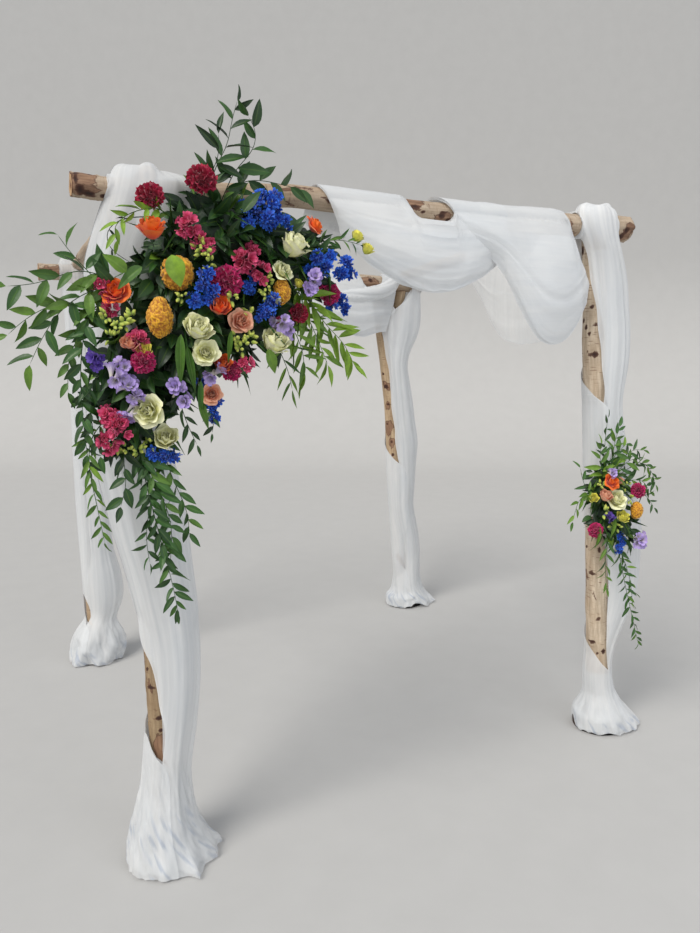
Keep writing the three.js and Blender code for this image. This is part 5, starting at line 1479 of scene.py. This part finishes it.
class FlowerSizes(bpy.types.PropertyGroup):
    # the dark end of the greens: the darkest leaves, and painted shade on the leaves deep inside
    # the masses
    leaf_dark_and_shade: FloatVectorProperty(
        name="Dark green", description="Colour of the leaves inside the masses", subtype="COLOR",
        default=(0.006, 0.022, 0.008), min=0, max=1)
    leaf_middle: FloatVectorProperty(
        name="Middle green", description="Colour of most leaves", subtype="COLOR",
        default=(0.040, 0.120, 0.022), min=0, max=1)
    leaf_light: FloatVectorProperty(
        name="Light green", description="Colour of the youngest leaves", subtype="COLOR",
        default=(0.250, 0.420, 0.030), min=0, max=1)
    filler: IntProperty(
        name="Broad leaves", description="How many broad leaves fill the left masses",
        default=1000, min=0)
    bloom_size: FloatProperty(
        name="Bloom size", description="How large the blooms are, as a share of their table",
        default=1.12, min=0.1)


# Colours of the petals at foot and tip; for mustard, the painted shade between the cockscomb's
# ridges and the painted highlight on them.
PETALS = {
    "crimson": ((0.23, 0.002, 0.020), (0.52, 0.006, 0.060)),
    "magenta": ((0.30, 0.003, 0.07), (0.64, 0.012, 0.16)),
    "orange": ((0.80, 0.040, 0.003), (0.96, 0.190, 0.006)),
    "mustard": ((0.42, 0.13, 0.002), (0.95, 0.500, 0.015)),
    "cream": ((0.84, 0.840, 0.34), (0.95, 0.945, 0.640)),
    "pink": ((0.46, 0.006, 0.07), (0.82, 0.095, 0.24)),
    "peach": ((0.86, 0.260, 0.11), (0.93, 0.520, 0.34)),
    "blue": ((0.001, 0.018, 0.30), (0.022, 0.180, 0.86)),
    "lilac": ((0.70, 0.660, 0.56), (0.44, 0.310, 0.74)),
    "yellow": ((0.60, 0.620, 0.04), (0.90, 0.840, 0.130)),
    "purple": ((0.04, 0.012, 0.16), (0.105, 0.045, 0.40)),
    "lime": ((0.26, 0.380, 0.04), (0.62, 0.660, 0.110)),
}
# The CAD nodes that the flowers of each kind stand for.
STANDS_FOR = {
    "crimson": ["bloom_left_crimson"],
    "magenta": ["bloom_right_pink"],
    "orange": ["bloom_left_orange", "bloom_right_orange"],
    "mustard": ["bloom_left_mustard"],
    "cream": ["bloom_left_cream_top", "bloom_left_cream_middle", "bloom_left_cream_low",
      "bloom_right_cream"],
    "pink": ["bloom_left_pink"],
}
# Small flowers: the grid of one, how many at each place, its size as a share of the place's
# radius, and how far out of the place they reach.
SMALL = {
    "pink": (floret(5, 4, 5, 0.20, 0.6, 0.5, 3), 12, 0.50, 0.8),
    "blue": (floret(5, 4, 3, 0.08, 0.25, 0.32, 4), 7, 0.76, 0.8),
    "lilac": (funnel(), 4, 0.80, 0.8), "purple": (funnel(mouth=0.9), 4, 0.80, 0.8),
    "lime": (bud(), 7, 0.62, 1.25),
}
# How much taller than wide each cockscomb head is.
CREST_STRETCH = (1.0, 1.5, 1.4, 1.3)


class CHUPPAH_OT_flowers(bpy.types.Operator):
    """Roses, carnations, cockscomb, delphinium, freesia and buds"""

    bl_idname = "chuppah.flowers"
    bl_label = "Flowers"

    def bloom(self, shape, name, k, i, at, r, face):
        """One large flower of its kind, turned outwards."""
        if name == "mustard":
            points, ridge = crest(CREST_STRETCH[i], 30 + 7 * i)
            # the ridge mark takes the tip colour on the ridges as painted highlight and the foot
            # colour between them as painted shade
            shape.add(at + points * r, tip=ridge, tint=0.5)
        elif name in ("crimson", "magenta"):
            scattered(shape, carnation(6 + i), at, face, r, 240 + i)
            scattered(shape, ball()[None], at, face, r * 0.66, 240 + i, tip=0.15)
        else:
            closed = name == "yellow" or i % 2 == 0
            grids = cup_flower(CUP if closed else ROSE, 50 * k + i)
            toward = face / np.linalg.norm(face) + ([0, 0, 0.75] if closed else [0, -0.3, 0.45])
            scattered(shape, grids, at, toward, r, 250 + i)

    def execute(self, context):
        larger = context.scene.chuppah_flowers.bloom_size
        for k, (name, table) in enumerate(BLOOMS.items()):
            table = np.array(table) * [1, 1, 1, larger]
            heart = np.where(table[:, :1] < 0, *HEARTS)
            rng = np.random.default_rng(100 + k)
            face = (table[:, :3] - heart) * [1.0, 1.7, 0.9]
            face = face + rng.normal(0, 0.09, heart.shape) + [-0.05, 0, 0.07]
            shape = Shape()
            if name in SMALL:
                grids, per, size, reach = SMALL[name]
                clustered(shape, grids, table, per, size, 220 + k, reach)
            else:
                for i, row in enumerate(table):
                    self.bloom(shape, name, k, i, row[:3], row[3], face[i])
            place("flowers_" + name, shape.mesh(name), petal_material(name, *PETALS[name]),
                  STANDS_FOR.get(name, []))
        return {"FINISHED"}


class CHUPPAH_OT_greenery(bpy.types.Operator):
    """Masses of broad leaves, sprays and trails"""

    bl_idname = "chuppah.greenery"
    bl_label = "Greenery"

    def mass(self, k, name, table, total, small, grass, green):
        """Broad leaves and some narrow ones round the masses, and a dark core of painted shade
        inside them.
        """
        heart, broad = Shape(), Shape()
        rng = np.random.default_rng(300 + k)
        share = table[:, 3] * table[:, 5]
        pick = rng.choice(len(table), total, p=share / share.sum())
        d = rng.normal(0, 1, (total, 3))
        d[:, 1] -= 0.45
        d = unit(d)
        middle, half = table[pick, :3], table[pick, 3:]
        at = middle + d * half * rng.uniform(0.45, 0.92, (total, 1))
        at[:, 1] = np.minimum(at[:, 1], LEAF_BACK)
        high = (at[:, 2] > 1.86) & (at[:, 0] < -1.02 + 0.6 * (at[:, 2] - 1.86))
        at[:, 2] -= 0.16 * high
        toward = d + rng.normal(0, 0.55, d.shape) + [0, -0.1, -0.35]
        size = rng.uniform(0.045, 0.088, total) * small
        deep = np.abs((at - middle) / half).max(axis=1)
        young = rng.uniform(0, 1, total) < 0.09
        # painted shade: leaves nearer the middle of a mass get a lower tint, so a darker green
        tint = 0.02 + 0.36 * deep * rng.uniform(0.1, 1, total) + 0.40 * young
        leaves(broad, at, toward, size, size * rng.uniform(0.28, 0.56, total), 310 + k, tint)
        toward = d[:grass] * 0.8 + [0, -0.1, -0.9] + rng.normal(0, 0.3, (grass, 3))
        leaves(broad, at[:grass], toward, 0.13 * small, 0.008, 320 + k, 0.45,
               grid=leaf(bend=0.35, full=0.6))
        # painted shade: a dark green ball inside each mass, where the leaves shade one another
        for i, row in enumerate(table):
            lumpy = (1 + 0.12 * noise(ball() * 3, i))[..., None]
            grid = row[:3] + ball() * row[3:] * 0.66 * lumpy
            grid[..., 1] = np.minimum(grid[..., 1], SHADE_CORE_BACK)
            heart.add(grid, tip=0.5, tint=0.0)
        place("leaf_shade_core_" + name, heart.mesh("shade_core_" + name, closed=True), green)
        place("leaves_" + name, broad.mesh("broad_" + name, merge=False), green,
              ["foliage_" + name])

    def execute(self, context):
        s = context.scene.chuppah_flowers
        green = green_material("leaf_green", s.leaf_dark_and_shade, s.leaf_middle, s.leaf_light)
        self.mass(0, "left", np.array(MASSES["left"]), s.filler, 1.0, s.filler // 9, green)
        fewer = s.filler // 5
        self.mass(1, "right", np.array(MASSES["right"]), fewer, 0.6, fewer // 3, green)
        at, along, length, width, tint = (np.array(c) for c in zip(*SINGLE_LEAVES))
        single = Shape()
        leaves(single, at, along, length, width, 390, tint, grid=leaf(12, 9, 0.5, 0.25),
               face=np.array([-0.3, -1.0, 0.4]) + 0 * at)
        place("leaves_single", single.mesh("single", merge=False), green)
        sprays, stems = Shape(), Shape()
        for i, row in enumerate(SPRAYS):
            spray(sprays, stems, *row, 400 + i)
        place("leaf_sprays", sprays.mesh("sprays", merge=False), green,
              ["spray_left_outer", "spray_left_top", "spray_left_inner", "trail_left",
               "trail_right"])
        place("leaf_stems", stems.mesh("stems", closed=True), green)
        return {"FINISHED"}


class StageSizes(bpy.types.PropertyGroup):
    floor_colour: FloatVectorProperty(
        name="Floor", description="Colour of the floor", subtype="COLOR",
        default=(0.50, 0.495, 0.485), min=0, max=1)
    sky_colour: FloatVectorProperty(
        name="Studio", description="Colour of the light from all round", subtype="COLOR",
        default=(0.47, 0.49, 0.52), min=0, max=1)
    key_power: FloatProperty(
        name="Key light", description="Strength of the soft sun from the front left", default=2.5,
        min=0)
    fill_power: FloatProperty(
        name="Fill light", description="Power of the light from the front", default=60, min=0,
        unit="POWER")
    camera_height: FloatProperty(
        name="Camera height", description="Height of the camera", default=1.67, unit="LENGTH")
    camera_turn: FloatProperty(
        name="Camera turn", description="How far the camera looks to the right of the depth axis",
        default=math.radians(26.5), subtype="ANGLE")
    camera_dip: FloatProperty(
        name="Camera dip", description="How far the camera looks below the horizon",
        default=math.radians(9.535), subtype="ANGLE")
    lens: FloatProperty(
        name="Lens", description="Focal length on a frame of 36 mm", default=29.52, min=5,
        unit="CAMERA")


# Where the camera stands in plan, from the middle of the four feet.
CAMERA_PLAN = (-1.453, -3.150)


def studio_surface(look):
    """The floor and the backdrop as one sheet across the camera's line: level for 11 m, bent up
    through a quarter circle of 3 m radius, and then straight up."""
    v = np.linspace(0, 1, 60)[:, None]
    u = np.linspace(-9, 9, 9)[None, :]
    bend = np.clip((v - 0.6) / 0.3, 0, 1) * TAU / 4
    run = np.where(v < 0.6, v / 0.6 * 11 - 5, 6 + 3 * np.sin(bend))
    rise = np.where(v < 0.6, 0, 3 - 3 * np.cos(bend)) + np.where(v > 0.9, (v - 0.9) * 60, 0)
    ahead = np.array([math.sin(look), math.cos(look), 0])
    right = np.array([math.cos(look), -math.sin(look), 0])
    return run[..., None] * ahead + u[..., None] * right + rise[..., None] * np.array([0, 0, 1.0])


class CHUPPAH_OT_stage(bpy.types.Operator):
    """Pale floor, soft lights and the camera"""

    bl_idname = "chuppah.stage"
    bl_label = "Stage"

    def floor(self, scene, s):
        g = Graph("studio_floor")
        speck = g.noise(g.place((1, 1, 1)), 6, 6, 0.6)
        pale, dark = tuple(s.floor_colour), tuple(c * 0.86 for c in s.floor_colour)
        colour = g.mix(g.ramp(speck, (0.3, 0.0), (0.7, 0.25)), pale, dark)
        shape = Shape()
        shape.add(studio_surface(s.camera_turn))
        ob = bpy.data.objects.new("studio", shape.mesh("studio"))
        ob.data.materials.append(g.finish(base_color=colour, roughness=0.85))
        scene.collection.objects.link(ob)

    def lights(self, scene, s):
        scene.world = bpy.data.worlds.new("studio")
        scene.world.use_nodes = True
        sky = scene.world.node_tree.nodes["Background"].inputs
        sky["Color"].default_value = (*s.sky_colour, 1)
        sky["Strength"].default_value = 1.0
        sun, fill = bpy.data.lights.new("sun", "SUN"), bpy.data.lights.new("fill", "AREA")
        sun.energy, sun.color, sun.angle = s.key_power, (1.0, 0.965, 0.91), math.radians(30)
        fill.energy, fill.color, fill.size = s.fill_power, (0.93, 0.96, 1.0), 4.0
        for light, at in ((sun, (-3.4, -1.7, 5.0)), (fill, (1.5, -5.6, 3.0))):
            lamp = bpy.data.objects.new(light.name, light)
            lamp.location = at
            toward = Vector((0, 0, 1.0)) - lamp.location
            lamp.rotation_euler = toward.to_track_quat("-Z", "Y").to_euler()
            scene.collection.objects.link(lamp)

    def camera(self, scene, s):
        camera = bpy.data.objects.new("camera", bpy.data.cameras.new("camera"))
        camera.location = np.array([*CAMERA_PLAN, s.camera_height]) + SHIFT
        camera.rotation_euler = (math.pi / 2 - s.camera_dip, 0, -s.camera_turn)
        camera.data.sensor_width, camera.data.lens = 36, s.lens
        scene.collection.objects.link(camera)
        scene.camera = camera

    def execute(self, context):
        scene, s = context.scene, context.scene.chuppah_stage
        self.floor(scene, s)
        self.lights(scene, s)
        self.camera(scene, s)
        scene.view_settings.view_transform = "Standard"
        return {"FINISHED"}


OPERATORS = (CHUPPAH_OT_stage, CHUPPAH_OT_timber, CHUPPAH_OT_feet, CHUPPAH_OT_tulle,
             CHUPPAH_OT_flowers, CHUPPAH_OT_greenery)
GROUPS = {"chuppah_stage": StageSizes, "chuppah_timber": TimberSizes, "chuppah_tulle": TulleSizes,
          "chuppah_flowers": FlowerSizes}


class CHUPPAH_PT_panel(bpy.types.Panel):
    """Lists the canopy's sizes and the steps that build it"""

    bl_label = "Chuppah"
    bl_idname = "CHUPPAH_PT_panel"
    bl_space_type = "VIEW_3D"
    bl_region_type = "UI"
    bl_category = "Chuppah"

    def draw(self, context):
        for group in GROUPS:
            column = self.layout.column()
            for key in getattr(context.scene, group).__annotations__:
                column.prop(getattr(context.scene, group), key)
        for operator in OPERATORS:
            self.layout.operator(operator.bl_idname)


def register():
    for kind in (*GROUPS.values(), *OPERATORS, CHUPPAH_PT_panel):
        bpy.utils.register_class(kind)
    for name, group in GROUPS.items():
        setattr(bpy.types.Scene, name, PointerProperty(type=group))


def unregister():
    for name in GROUPS:
        delattr(bpy.types.Scene, name)
    for kind in reversed((*GROUPS.values(), *OPERATORS, CHUPPAH_PT_panel)):
        bpy.utils.unregister_class(kind)


def main():
    register()
    for operator in OPERATORS:
        area, step = operator.bl_idname.split(".")
        getattr(getattr(bpy.ops, area), step)()


if __name__ == "__main__":
    main()
